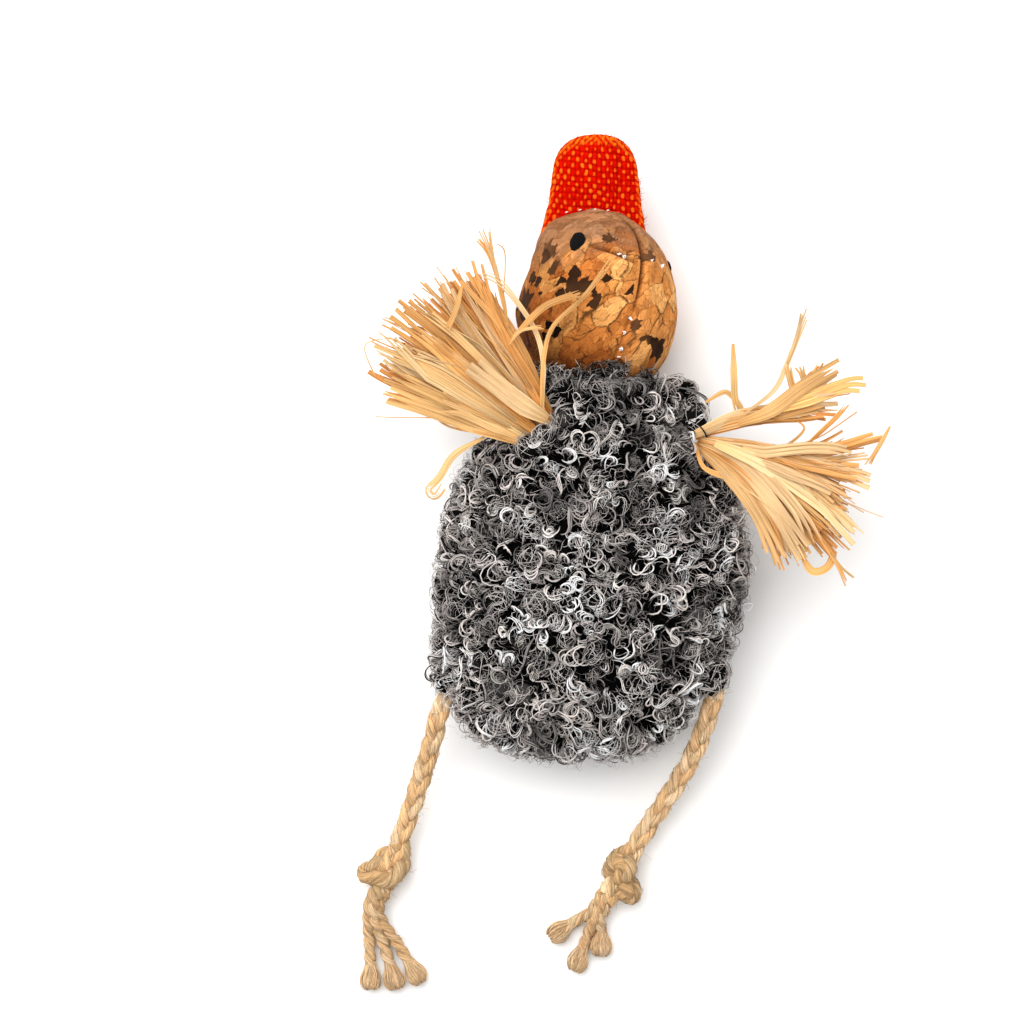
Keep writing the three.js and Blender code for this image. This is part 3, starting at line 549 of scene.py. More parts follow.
def mottle_group():
    """A node group of fine clouds: two tones mixed in them, and the normals of the raised clouds."""
    inputs = {"Place": "Vector", "Dark": "Color", "Light": "Color", "Scale": "Float", "Detail": "Float",
              "Roughness": "Float", "Depth": "Float"}
    group, given, results = new_group("fine_mottle", inputs, {"Colour": "Color", "Normal": "Vector"})
    cloudy = {"Vector": given["Place"], "Scale": given["Scale"], "Detail": given["Detail"],
              "Roughness": given["Roughness"]}
    clouds = place_node(group, "ShaderNodeTexNoise", cloudy).outputs["Fac"]
    bump = place_node(group, "ShaderNodeBump", {"Distance": given["Depth"], "Height": clouds})
    group.links.new(colour_mix(group, clouds, given["Dark"], given["Light"]), results["Colour"])
    group.links.new(bump.outputs[0], results["Normal"])
    return group


fine_mottle = mottle_group()


def mottled_material(name, dark, light, scale, depth, detail=4.0, roughness=0.65, **shader):
    """Two tones mixed in fine clouds, with the clouds raised by a depth."""
    material, tree, principled = new_material(name, **shader)
    place = place_node(tree, "ShaderNodeTexCoord").outputs["Object"]
    clouds = {"Place": place, "Dark": dark, "Light": light, "Scale": scale, "Detail": detail,
              "Roughness": roughness, "Depth": depth}
    mottle = place_node(tree, "ShaderNodeGroup", clouds, node_tree=fine_mottle)
    tree.links.new(mottle.outputs["Colour"], principled.inputs["Base Color"])
    tree.links.new(mottle.outputs["Normal"], principled.inputs["Normal"])
    return material


boucle_ground = mottled_material("boucle_ground", CLOTH_DARK, CLOTH_LIGHT, 900.0, 0.4 * MM, 3.0, 0.5,
                                 Roughness=1.0, Specular_IOR_Level=0.0)
body_cloth.data.materials.append(boucle_ground)
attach(body_cloth, "torso")
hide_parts("body_front_panel", "body_back_panel")


# Pile: balls of wound wool, loops and locks of curled yarn, tangled strands and loose hairs, which grow from
# places spread over the cloth and stand thicker round the collar's rim and over the roots of wings and legs.
BALL_SPACING, LOOP_SPACING, LOCK_SPACING = 3.5 * MM, 2.35 * MM, 3.2 * MM
BALL_TRIES, LOOP_TRIES, LOCK_TRIES = 3000, 4400, 2600
TANGLE_COUNT, FUZZ_COUNT = 4200, 2400
BALL_FIBRES, BALL_POINTS = 34, 6
BALL_LEAST, BALL_MORE, BALL_LIFT = 1.15 * MM, 1.25 * MM, 0.5 * MM
CORE_ROWS, CORE_COLUMNS = 6, 9
CORE_SHARE, CORE_LIFT, CORE_COARSENESS = 0.94, 0.35 * MM, 0.35
BUNDLE_LOOPS, LOOP_POINTS = 4, 12
LOOP_LIFT, LOOP_DIVE = 1.4 * MM, 1.4 * MM
LOCK_POINTS, LOCK_LIFT = 12, 3.2 * MM
HOOK_SUNK = 0.2 * MM
RIM_LOCKS, TUFT_STRANDS = 30, 36
PILE_FLOOR = 0.5 * MM
PATCH_LENGTH = 5.5 * MM
# Painted shade under the head: the wool darkens over the collar from its start, through a fade, by up to the
# shade
COLLAR_START, COLLAR_FADE, COLLAR_SHADE = 26 * MM, 5 * MM, 0.35
WOOL_TINT = np.array([1.0, 0.91, 0.86])
# Greys: for each kind of strand, shares of it and the greys that each share lies between
# The cores are mostly near black: dark matted wool, made darker still as painted shade inside the balls
CORE_GREYS = [(0.75, 0.0015, 0.006), (0.25, 0.01, 0.05)]
BALL_GREYS = [(0.15, 0.03, 0.12), (0.35, 0.45, 0.75), (0.5, 0.8, 0.95)]
LOOP_GREYS = [(0.06, 0.15, 0.35), (0.24, 0.6, 0.85), (0.7, 0.85, 0.95)]
LOCK_GREYS = [(0.2, 0.005, 0.05), (0.35, 0.45, 0.75), (0.45, 0.75, 0.95)]
TANGLE_GREYS = [(0.4, 0.002, 0.02), (0.35, 0.25, 0.55), (0.25, 0.65, 0.95)]
FUZZ_GREYS = [(0.5, 0.25, 0.5), (0.5, 0.5, 0.85)]
# Balls and locks over the roots of the left wing, left leg and right leg and on the right shoulder, then
# locks alone over the right wing's root and round the legs' roots, in millimetres
ROOT_LOCKS = [(-10.9, 22.6, 26.0), (-9.4, 23.6, 27.0), (-8.0, 24.9, 27.4), (-6.5, 26.2, 27.4),
              (-5.2, 27.7, 27.0), (-25.4, -19.4, 16.4), (-23.6, -20.4, 17.4), (-26.6, -18.2, 15.0),
              (22.4, -18.4, 16.2), (20.8, -19.8, 17.6), (21.8, -17.2, 18.0), (17.8, 31.4, 18.5),
              (18.8, 29.4, 19.5), (17.0, 33.4, 17.0), (18.4, 27.6, 21.0)]
LONE_LOCKS = [(17.2, 22.4, 24.2), (17.4, 24.2, 24.6), (17.4, 26.0, 24.2), (16.2, 23.4, 25.4),
              (16.6, 25.2, 25.2), (22.8, -17.4, 13.2), (22.2, -19.4, 12.2), (22.8, -17.6, 15.8),
              (21.4, -19.6, 10.6), (22.4, -16.4, 11.2), (-26.4, -19.2, 13.2), (-26.0, -20.6, 12.2),
              (-26.4, -18.6, 15.8), (-25.2, -20.8, 10.8)]
# Tufts of tangled wool above the collar's rim, in millimetres
RIM_TUFTS = [(3.2, 36.4, 25.4), (5.0, 36.2, 25.2), (-6.2, 35.4, 23.8), (-8.0, 35.2, 22.4),
             (9.8, 35.0, 22.6), (-2.0, 35.2, 25.2), (0.8, 35.4, 25.6)]
# The pile is eight pieces, one for each eighth of the body about this middle
SECTOR_MIDDLE = np.array([0.5, -2.0, 15.0]) * MM
PILE_SEED, SECTOR_SEED = 5, 40


def from_lowest(ring):
    """The corners of a face from its lowest number on, because a sphere's faces start anywhere."""
    first = ring.index(min(ring))
    return ring[first:] + ring[:first]


def spread_points(piece, count, draw):
    """Points spread evenly over a mesh, and the way its surface faces there."""
    corners = np.array([corner.co for corner in piece.data.vertices])
    triangles = []
    for ring in sorted(from_lowest(list(face.vertices)) for face in piece.data.polygons):
        triangles += [(ring[0], ring[k], ring[k + 1]) for k in range(1, len(ring) - 1)]
    a, b, c = (corners[np.array(triangles)[:, k]] for k in range(3))
    faces = np.cross(b - a, c - a)
    area = np.linalg.norm(faces, axis=1)
    picked = draw.choice(len(triangles), count, p=area / area.sum())
    u, v = draw.uniform(size=(2, count, 1))
    folded = u + v > 1
    u, v = np.where(folded, 1 - u, u), np.where(folded, 1 - v, v)
    return a[picked] + u * (b - a)[picked] + v * (c - a)[picked], unit(faces[picked])


def apart(points, spacing):
    """Which of the points to keep so that no two lie closer than a spacing."""
    kept = []
    for place, point in enumerate(points):
        if not kept or np.min(np.linalg.norm(points[kept] - point, axis=1)) > spacing:
            kept.append(place)
    return kept


def laid_lines(points, normals, x, y, height, spin):
    """Lines drawn flat and lifted, laid on the cloth at their points with a turn each, off the floor."""
    helper = np.where(np.abs(normals[:, 2:]) < 0.9, [[0.0, 0, 1]], [[1.0, 0, 0]])
    level = unit(np.cross(normals, helper))
    upright = np.cross(normals, level)
    spin = spin[:, None]
    first = np.cos(spin) * level + np.sin(spin) * upright
    second = np.cos(spin) * upright - np.sin(spin) * level
    lines = (points[:, None] + x[..., None] * first[:, None] + y[..., None] * second[:, None]
             + height[..., None] * normals[:, None])
    return off_floor(lines, PILE_FLOOR)


def grid_faces(rows, columns, flipped):
    """Faces of a grid of rows and columns of corners."""
    first = (np.arange(rows - 1)[:, None] * columns + np.arange(columns - 1)).ravel()
    quads = np.stack([first, first + 1, first + columns + 1, first + columns], axis=1)
    return (quads if flipped else quads[:, ::-1]).tolist()


def ball_sizes(points):
    """The radius of each ball of wool, the same whenever it is asked for."""
    wave = 0.5 + 0.5 * np.sin(points @ np.array([9100.0, 7700.0, 8300.0]))
    return BALL_LEAST + BALL_MORE * wave**2


def ball_lines(points, normals, draw):
    """Fine wool wound round each ball of the pile: arcs round the ball's middle."""
    size = np.repeat(ball_sizes(points), BALL_FIBRES)[:, None]
    points, normals = np.repeat(points, BALL_FIBRES, 0), np.repeat(normals, BALL_FIBRES, 0)
    total = len(points)
    first = unit(draw.normal(size=(total, 3)) + 0.9 * normals)
    second = unit(np.cross(first, draw.normal(size=(total, 3))))
    angle = draw.uniform(1.0, 2.8, (total, 1)) * np.linspace(-0.5, 0.5, BALL_POINTS)
    radius = size * draw.uniform(0.88, 1.22, (total, 1))
    radius = radius * (1 + draw.normal(0, 0.12, (total, 1)) * np.linspace(-1, 1, BALL_POINTS))
    lines = ((radius * np.cos(angle))[..., None] * first[:, None]
             + (radius * np.sin(angle))[..., None] * second[:, None])
    lines = lines + (points + BALL_LIFT * normals)[:, None] + draw.normal(0, 0.12 * MM, (total, 1, 3))
    return off_floor(lines, PILE_FLOOR)


def core_part(points, normals, draw):
    """The matted wool inside each ball: a lumpy ball whose fibres run round an axis of its own."""
    rise = np.linspace(-1.5, 1.5, CORE_ROWS)[:, None]
    turn = np.linspace(0, 2 * np.pi, CORE_COLUMNS)[None, :]
    ball = [np.cos(rise) * np.cos(turn), np.cos(rise) * np.sin(turn), np.sin(rise) + 0 * turn]
    ball = np.stack(ball, axis=-1).reshape(-1, 3)
    size = CORE_SHARE * ball_sizes(points)[:, None, None]
    lumps = 1 + 0.16 * np.sin(3.1 * ball @ draw.normal(0, 1, (3, len(points)))).T[..., None]
    axis = unit(draw.normal(size=(len(points), 3)))
    across = unit(np.cross(axis, draw.normal(size=(len(points), 3))))
    axes = np.stack([across, np.cross(axis, across), axis], axis=1)
    corners = (points + CORE_LIFT * normals)[:, None] + size * lumps * (ball @ axes)
    off_floor(corners, PILE_FLOOR)
    wound = np.stack([ball[:, 2], np.hypot(ball[:, 0], ball[:, 1]), np.tile(turn[0], CORE_ROWS)], axis=1)
    lay = CORE_COARSENESS * size * wound + draw.uniform(0, 1, (len(points), 1, 3))
    faces = np.array(grid_faces(CORE_ROWS, CORE_COLUMNS, True))
    faces = (faces + np.arange(len(points))[:, None, None] * len(ball)).reshape(-1, 4).tolist()
    tones = grey_tones(CORE_GREYS, corners, draw)[:, None] * np.ones((1, len(ball), 1))
    return corners.reshape(-1, 3), faces, tones.reshape(-1, 3), lay.reshape(-1, 3)


def loop_lines(points, normals, draw):
    """Bright yarn in small bundles of rings and crescents that lie side by side and dive into the pile."""
    bundles = len(points)
    points, normals = np.repeat(points, BUNDLE_LOOPS, 0), np.repeat(normals, BUNDLE_LOOPS, 0)
    total = len(points)
    each = (total, 1)
    rank = np.tile(np.arange(BUNDLE_LOOPS), bundles)[:, None]

    def of_bundle(low, high):
        return np.repeat(draw.uniform(low, high, bundles), BUNDLE_LOOPS)[:, None]

    u = np.linspace(0, 1, LOOP_POINTS)
    size = of_bundle(0.65, 1.6) * (1 + of_bundle(-0.1, 0.26) * rank + draw.normal(0, 0.1, each)) * MM
    span = of_bundle(2.4, 5.9) * draw.uniform(0.8, 1.1, each)
    angle = of_bundle(0, 2 * np.pi) + draw.normal(0, 0.3, each) + span * (u - 0.5)
    size = size * (1 + draw.normal(0, 0.14, each) * np.sin(2 * angle) + draw.normal(0, 0.3, each) * (u - 0.5))
    x, y = size * np.cos(angle), of_bundle(0.6, 1.0) * size * np.sin(angle)
    x = x + (of_bundle(-0.5, 0.5) * rank + draw.normal(0, 0.12, each)) * MM
    height = LOOP_LIFT + of_bundle(0, 1.1) * MM + of_bundle(-0.6, 0.6) * x + of_bundle(-0.6, 0.6) * y
    height = height + draw.normal(0, 0.12 * MM, each) - LOOP_DIVE * np.abs(2 * u - 1)**4
    seen = draw.uniform(size=total) < of_bundle(0.35, 1.1)[:, 0]
    lines = laid_lines(points, normals, x, y, height, of_bundle(0, 2 * np.pi)[:, 0])
    return lines[seen]


def hook_lines(points, normals, count, draw, low, high, lift):
    """Curled yarn: hooks, S shapes and rings that leave the cloth, bend over it and go back in."""
    u = np.linspace(0, 1, count)
    each = (len(points), 1)
    length = draw.uniform(low, high, each) * MM
    turns = draw.normal(0, 0.75, each)
    swing = draw.uniform(0.4, 1.7, each)
    waves = 2 * np.pi * u * draw.uniform(0.5, 1.2, each)
    heading = 2 * np.pi * turns * u + swing * np.sin(waves + draw.uniform(0, 2 * np.pi, each))
    x = np.cumsum(np.cos(heading), axis=1) * length / count
    y = np.cumsum(np.sin(heading), axis=1) * length / count
    x, y = x - x.mean(1, keepdims=True), y - y.mean(1, keepdims=True)
    tilt = draw.normal(0, 0.25, (2, *each))
    height = draw.uniform(0.55, 1, each) * lift * np.sin(np.pi * u)**0.6 + tilt[0] * x + tilt[1] * y
    return laid_lines(points, normals, x, y, height - HOOK_SUNK, draw.uniform(0, 2 * np.pi, len(points)))


def lock_lines(points, normals, draw):
    """Locks of curled yarn: three strands of each curl side by side."""
    lines = hook_lines(points, normals, LOCK_POINTS, draw, 4.0, 8.5, LOCK_LIFT)
    each = (len(lines), 1, 3)
    aside = unit(draw.normal(size=each))
    spread = (0.1 + 0.24 * np.sin(np.linspace(0, np.pi, LOCK_POINTS)))[:, None] * MM
    return np.concatenate([lines + k * spread * aside + draw.normal(0, 0.05 * MM, each) for k in (-1, 0, 1)])


def grey_tones(shares, lines, draw):
    """Wool tones for strands: shares of them between pairs of greys, in patches, with painted shade on the
    collar.
    """
    weights = np.array([share for share, _, _ in shares])
    picked = draw.choice(len(shares), len(lines), p=weights / weights.sum())
    low, high = (np.array([row[k] for row in shares])[picked] for k in (1, 2))
    middles = lines[:, lines.shape[1] // 2]
    patch = np.array([noise.noise(Vector(point) / PATCH_LENGTH) for point in middles])
    # Painted shade on the collar, under the head
    collar = 1 - COLLAR_SHADE * np.clip((lines[:, 0, 1] - COLLAR_START) / COLLAR_FADE, 0, 1)
    grey = (draw.uniform(low, high) * collar * np.clip(1 + 1.3 * patch, 0.2, 1.5))[:, None]
    return np.clip(grey * WOOL_TINT * (1 + draw.normal(0, 0.012, (len(lines), 3))), 0.002, 0.95)


wool = strand_material("boucle_wool", fineness=9000, stretch=12, shade=0.45, depth=0.05 * MM, Roughness=0.9,
                       Specular_IOR_Level=0.03)
pile_draw = np.random.default_rng(PILE_SEED)


def rooted(count, spacing=0):
    """Places on the cloth for strands to grow from, kept a spacing apart where one is given."""
    points, normals = spread_points(body_cloth, count, pile_draw)
    kept = apart(points, spacing) if spacing else slice(None)
    return points[kept], normals[kept]


def hiding_locks(places):
    """Places and ways of locks that stand round the collar's rim and over the roots of the wings and legs."""
    points, normals = [], []
    uneven = pile_draw.uniform(-0.3, 0.3, RIM_LOCKS)
    for angle in 2 * np.pi * (np.arange(RIM_LOCKS) + uneven) / RIM_LOCKS:
        way = np.array([0.5 * math.cos(angle), 0.8, 0.5 * math.sin(angle)])
        points.append(np.array(cover_point(RIM_SHARE, angle)) + pile_draw.uniform(0.3, 1.1) * MM * way)
        normals.append(way)
    for place in places:
        points.append(np.array(place) * MM)
        normals.append(np.array(place) * MM - np.array([0, place[1] * MM - 1 * MM, LEG_HEIGHT]))
    return np.array(points), unit(np.array(normals))


def tufted(places):
    """Places and ways of the strands of tufts that lean over the collar's rim."""
    points = np.repeat(np.array(places) * MM, TUFT_STRANDS, axis=0)
    ways = np.array([0, 0.5, 0.85]) + pile_draw.normal(0, 0.45, points.shape)
    return points + pile_draw.normal(0, 0.5 * MM, points.shape), unit(ways)


def both(first, second):
    """Two sets of places and ways as one set."""
    return [np.concatenate(pair) for pair in zip(first, second)]


PILE = {
    "balls": both(rooted(BALL_TRIES, BALL_SPACING), hiding_locks(ROOT_LOCKS)),
    "loops": rooted(LOOP_TRIES, LOOP_SPACING),
    "locks": both(rooted(LOCK_TRIES, LOCK_SPACING), hiding_locks(ROOT_LOCKS + LONE_LOCKS)),
    "tangle": both(rooted(TANGLE_COUNT), tufted(RIM_TUFTS)),
    "fuzz": rooted(FUZZ_COUNT),
}


def grown(kind, points, normals, draw):
    """The lines, thicknesses, number of sides and greys of one kind of strand."""
    if kind == "balls":
        return ball_lines(points, normals, draw), (0.03, 0.06), 3, BALL_GREYS
    if kind == "loops":
        return loop_lines(points, normals, draw), (0.09, 0.16), 4, LOOP_GREYS
    if kind == "locks":
        return lock_lines(points, normals, draw), (0.07, 0.13), 4, LOCK_GREYS
    if kind == "tangle":
        return hook_lines(points, normals, 8, draw, 3.0, 7.0, 3.0 * MM), (0.045, 0.085), 3, TANGLE_GREYS
    return hook_lines(points, normals, 7, draw, 3.0, 6.5, 4.2 * MM), (0.02, 0.032), 3, FUZZ_GREYS


for number in range(8):
    draw = np.random.default_rng(SECTOR_SEED + number)
    halves = np.array([number & 1, number & 2, number & 4], bool)
    parts = []
    for kind, (points, normals) in PILE.items():
        picked = np.all((points > SECTOR_MIDDLE) == halves, axis=1)
        lines, (thin, thick), sides, greys = grown(kind, points[picked], normals[picked], draw)
        thickness = draw.uniform(thin, thick, (len(lines), 1)) * MM
        parts.append(strand_part(lines, thickness, sides, grey_tones(greys, lines, draw)))
        if kind == "balls":
            parts.append(core_part(points[picked], normals[picked], draw))
    pile = add_mesh_piece(f"body_pile_{number + 1}", parts, wool)
    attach(pile, "torso")


# Filling: loose white fibre in the body, neck, head and bill, and a small cloth pouch of dried catnip in the
# body. Each is a lumpy ball, drawn to the size of its solid and kept a little inside it.
FILLED = {
    "body_filling": ("body_stuffing", "torso", "filling", 0.84),
    "catnip_pouch_cloth": ("catnip_pouch", "torso", "catnip", 0.78),
    "neck_filling": ("neck_stuffing", "neck", "filling", 0.9),
    "head_filling": ("head_stuffing", "head", "filling", 0.9),
    "bill_filling": ("bill_padding", "bill", "filling", 0.85),
}
FILLING_DARK, FILLING_LIGHT = (0.55, 0.54, 0.52, 1), (0.9, 0.89, 0.87, 1)
CATNIP_DARK, CATNIP_LIGHT = (0.16, 0.2, 0.07, 1), (0.42, 0.47, 0.22, 1)
FILLING_LUMP = 0.05
SOFT_SIDES, SOFT_RINGS = 48, 32


def soft_ball(name, node, keep, lump):
    """A lumpy ball that fills the box of a solid, but for the share given up."""
    low, high = (Vector(corner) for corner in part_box(node))
    bpy.ops.object.select_all(action="DESELECT")
    bpy.ops.mesh.primitive_uv_sphere_add(segments=SOFT_SIDES, ring_count=SOFT_RINGS, radius=1)
    ball = bpy.context.object
    ball.name = name
    bpy.ops.object.shade_smooth()
    for corner in ball.data.vertices:
        swell = keep * (1 - lump + lump * noise.noise(corner.co * 3.1))
        corner.co = (low + high) / 2 + corner.co * swell * (high - low) / 2
    return ball


fillings = {
    "filling": mottled_material("filling", FILLING_DARK, FILLING_LIGHT, 700.0, 0.5 * MM, Roughness=0.95),
    "catnip": mottled_material("catnip", CATNIP_DARK, CATNIP_LIGHT, 1100.0, 0.3 * MM, Roughness=0.9),
}
for name, (node, body, material, keep) in FILLED.items():
    ball = soft_ball(name, node, keep, FILLING_LUMP)
    ball.data.materials.append(fillings[material])
    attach(ball, body)
    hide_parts(node)


# Neck thread: two-ply white sewing thread, wound once round the cover under the head to gather it. It lies
# in the ring of its solid, sunk in the pile.
THREAD_SINK, THREAD_POINTS, THREAD_SIDES = 2.6 * MM, 97, 6
THREAD_RADIUS, THREAD_OFFSET, THREAD_PITCH = 0.15 * MM, 0.13 * MM, 2.0 * MM
THREAD_TONES = [(0.82, 0.8, 0.76)]
thread = strand_material("thread", fineness=12000, stretch=10, shade=0.3, depth=0.02 * MM, Roughness=0.6)
thread_low, thread_high = (np.array(corner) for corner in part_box("neck_thread"))
thread_angle = np.linspace(0, 2 * np.pi, THREAD_POINTS)
thread_circle = np.stack([np.cos(thread_angle), 0 * thread_angle, np.sin(thread_angle)], axis=1)
ring_radius = (thread_high[0] - thread_low[0]) / 2 - THREAD_SINK
thread_ring = (thread_low + thread_high) / 2 + ring_radius * thread_circle
thread_plies = ply_lines(thread_ring[None], THREAD_OFFSET, THREAD_PITCH)
thread_tones = tones_near(THREAD_TONES, len(thread_plies), 0.05, np.random.default_rng(3))
thread_part = strand_part(thread_plies, THREAD_RADIUS, THREAD_SIDES, thread_tones)
neck_thread = add_mesh_piece("neck_gathering_thread", [thread_part], thread)
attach(neck_thread, "torso")
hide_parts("neck_thread")


# Head: two panels of thin cork cloth over the filling, sewn together along a seam that runs from the crown
# to the neck and drawn into a fold at the brow. The cork is chips glued edge to edge, each with its own tone,
# tilt and grain; thin dark joints part them, and the dark ground shows where chips are missing.
HEAD_MIDDLE = np.array([1.2, 47.7, 14.6]) * MM
HEAD_RADIUS, HEAD_CROWN, HEAD_CHIN = 14.5 * MM, 17.8 * MM, 17.0 * MM
FLAT_SIDE, FLAT_TOP = 0.3, 0.7
SEAM_TURN, SEAM_DRIFT = math.radians(27), math.radians(1.4) / MM
HEAD_ROWS, HEAD_COLUMNS = 160, 190
HEAD_LOWEST = math.radians(-68)
CHIP_SIZE, FLAKE_SIZE = 3.3 * MM, 1.35 * MM
CHIP_LEAN = math.radians(40)
CHIP_AXIS = np.array([math.cos(CHIP_LEAN), math.sin(CHIP_LEAN), 0])
CHIP_SQUEEZE = 0.6
RAGGED, CHIP_SHIFT = 0.9 * MM, 0.5 * MM
SWELL_RISE, SHIFT_RISE, BARE_DEPTH = 0.22 * MM, 0.12 * MM, 0.25 * MM
SEAM_WIDTH, SEAM_DEPTH = 0.4 * MM, 1.0 * MM
PILLOW_AWAY, PILLOW_WIDTH, PILLOW_RISE = 1.8 * MM, 1.4 * MM, 0.4 * MM
CREASE_WIDTH, CREASE_DEPTH = 0.4 * MM, 0.9 * MM
BULGE_AWAY, BULGE_WIDTH, BULGE_RISE = 1.5 * MM, 1.2 * MM, 0.8 * MM
SMOOTH_START, SMOOTH_FADE = 9 * MM, 5 * MM
CHIP_TONES = [(0.7, 0.28, 0.075), (0.58, 0.2, 0.045), (0.8, 0.38, 0.12), (0.5, 0.155, 0.032),
              (0.66, 0.25, 0.06)]
SMOOTH_TONES = [(0.36, 0.175, 0.085), (0.44, 0.215, 0.105), (0.3, 0.13, 0.057), (0.4, 0.185, 0.083)]
GROUND_DARK, GROUND_LIGHT = (0.004, 0.0012, 0.0005), (0.13, 0.053, 0.02)
JOINT_BROWN = 0.25
# Bare spots, where chips are missing: across and up from the head's middle, half width and half height in
# millimetres, and how brown the ground is there, from 0 to 1
BARE_SPOTS = [(-4.5, 4.6, 0.9, 2.2, 0.2), (-2.3, 3.7, 1.9, 0.9, 0.3), (-0.9, 1.7, 1.2, 2.2, 0.3),
              (-7.8, -3.9, 1.4, 1.8, 0.0), (6.2, -3.1, 1.1, 1.5, 0.9), (9.4, -6.0, 2.6, 0.7, 0.6),
              (11.0, -7.6, 0.9, 1.8, 0.2), (1.9, 12.0, 1.3, 0.7, 0.5), (9.3, 9.3, 1.3, 0.9, 0.9),
              (-8.4, 10.7, 1.1, 1.6, 1.0), (-7.6, 6.7, 0.7, 1.1, 0.5), (5.7, 2.9, 0.7, 0.6, 0.2),
              (-6.2, 5.1, 0.6, 0.6, 0.2), (-13.2, 0.5, 0.8, 3.2, 0.3), (-9.9, 2.9, 0.5, 0.5, 0.2),
              (1.6, 5.6, 0.5, 0.7, 0.2), (-13.4, -6.4, 0.6, 1.2, 0.2), (-9.4, 9.4, 0.5, 0.8, 0.4),
              (-11.0, 5.4, 0.5, 1.3, 0.3), (-6.6, 2.8, 0.5, 1.0, 0.2), (-10.3, 0.2, 0.5, 1.1, 0.2)]
# Brow: the fold across the front of the head, from and to, across and up from its middle, in millimetres
BROW_FROM, BROW_TO = np.array([-1.6, 11.2]) * MM, np.array([7.3, 7.4]) * MM


def head_point(turn, rise):
    """A point of the head and the way it faces, by its turn round the long axis and its angle upwards."""
    reach = np.where(rise > 0, HEAD_CROWN, HEAD_CHIN)
    ring = HEAD_RADIUS * np.cos(rise)
    offset = np.stack([ring * np.sin(turn), reach * np.sin(rise), ring * np.cos(turn)], axis=-1)
    facing = unit(offset / np.stack([0 * reach + HEAD_RADIUS, reach, 0 * reach + HEAD_RADIUS], axis=-1)**2)
    high = np.clip(np.sin(rise), 0, 1)
    leftward = np.clip(-1.5 * np.sin(turn), 0, 1)
    offset[..., 0] *= 1 + leftward * (FLAT_TOP * high**3 - FLAT_SIDE * high)
    return offset, facing


def leaned(points):
    """Points squeezed along a leaning line, which makes chips that are long that way."""
    return points + (CHIP_SQUEEZE - 1) * (points @ CHIP_AXIS)[..., None] * CHIP_AXIS


def smooth_noise(points, scale, seed):
    """Smooth noise at points, from -1 to 1."""
    shift = Vector((seed * 3.7, seed * 1.3, seed * 2.1))
    return np.array([noise.noise(Vector(point) / scale + shift) for point in points])


def bare_ground(offset):
    """How deep each point of the front lies where chips are missing, and how brown the ground is there."""
    deep, brown = np.zeros(len(offset)), np.full(len(offset), JOINT_BROWN)
    for across, up, half_width, half_height, tone in BARE_SPOTS:
        gap = np.hypot((offset[:, 0] / MM - across) / half_width, (offset[:, 1] / MM - up) / half_height)
        deep = np.maximum(deep, np.clip(1.5 - gap, 0, 1))
        brown = np.where(gap < 1.8, tone, brown)
    return np.where(offset[:, 2] > 0, deep, 0), brown


def brow_fold(offset):
    """How deep the brow's crease is at each point, and how far the cork below it swells."""
    along = (BROW_TO - BROW_FROM) / np.linalg.norm(BROW_TO - BROW_FROM)
    away = offset[:, :2] - BROW_FROM
    run = (away @ along) / np.linalg.norm(BROW_TO - BROW_FROM)
    below = away @ np.array([along[1], -along[0]]) + 0.5 * MM * np.sin(3 * run)
    window = np.where(offset[:, 2] > 0, np.clip(1 - np.abs(2 * run - 1)**4, 0, 1), 0)
    window = np.where(np.abs(2 * run - 1) < 1, window, 0)
    crease = window * np.exp(-(below / CREASE_WIDTH)**2)
    return crease, window * np.exp(-((below - BULGE_AWAY) / BULGE_WIDTH)**2)


def seam_fold(offset, gap):
    """How deep the seam's groove is at each point, and how far the cork beside it swells."""
    depth = np.clip((offset[:, 1] + 2 * MM) / (6 * MM), 0.22, 1)
    groove = depth * np.exp(-(gap / SEAM_WIDTH)**2)
    return groove, depth * np.exp(-((gap - PILLOW_AWAY) / PILLOW_WIDTH)**2)


def cork_painted_shade(offset, groove, crease):
    """Painted shade on the cork at each point: darker on the left, towards the neck, in a round patch on the
    left and in its folds.
    """
    across = offset[:, 0] / HEAD_RADIUS
    light = 0.96 + 0.08 * across - np.clip(-across - 0.55, 0, 0.45)
    low = np.clip((4 * MM - offset[:, 1]) / (14 * MM), 0, 1)
    light = light - 0.75 * low * np.clip(0.35 - across, 0, 0.8)
    light = light - 0.2 * np.clip((-4 * MM - offset[:, 1]) / (7 * MM), 0, 1)
    left_shadow = ((offset[:, 0] + 7.8 * MM) / (2.4 * MM))**2 + ((offset[:, 1] - 4 * MM) / (4 * MM))**2
    light = light - 0.35 * np.exp(-left_shadow)
    return np.maximum(light, 0.22) * (1 - 0.85 * groove) * (1 - 0.75 * crease)


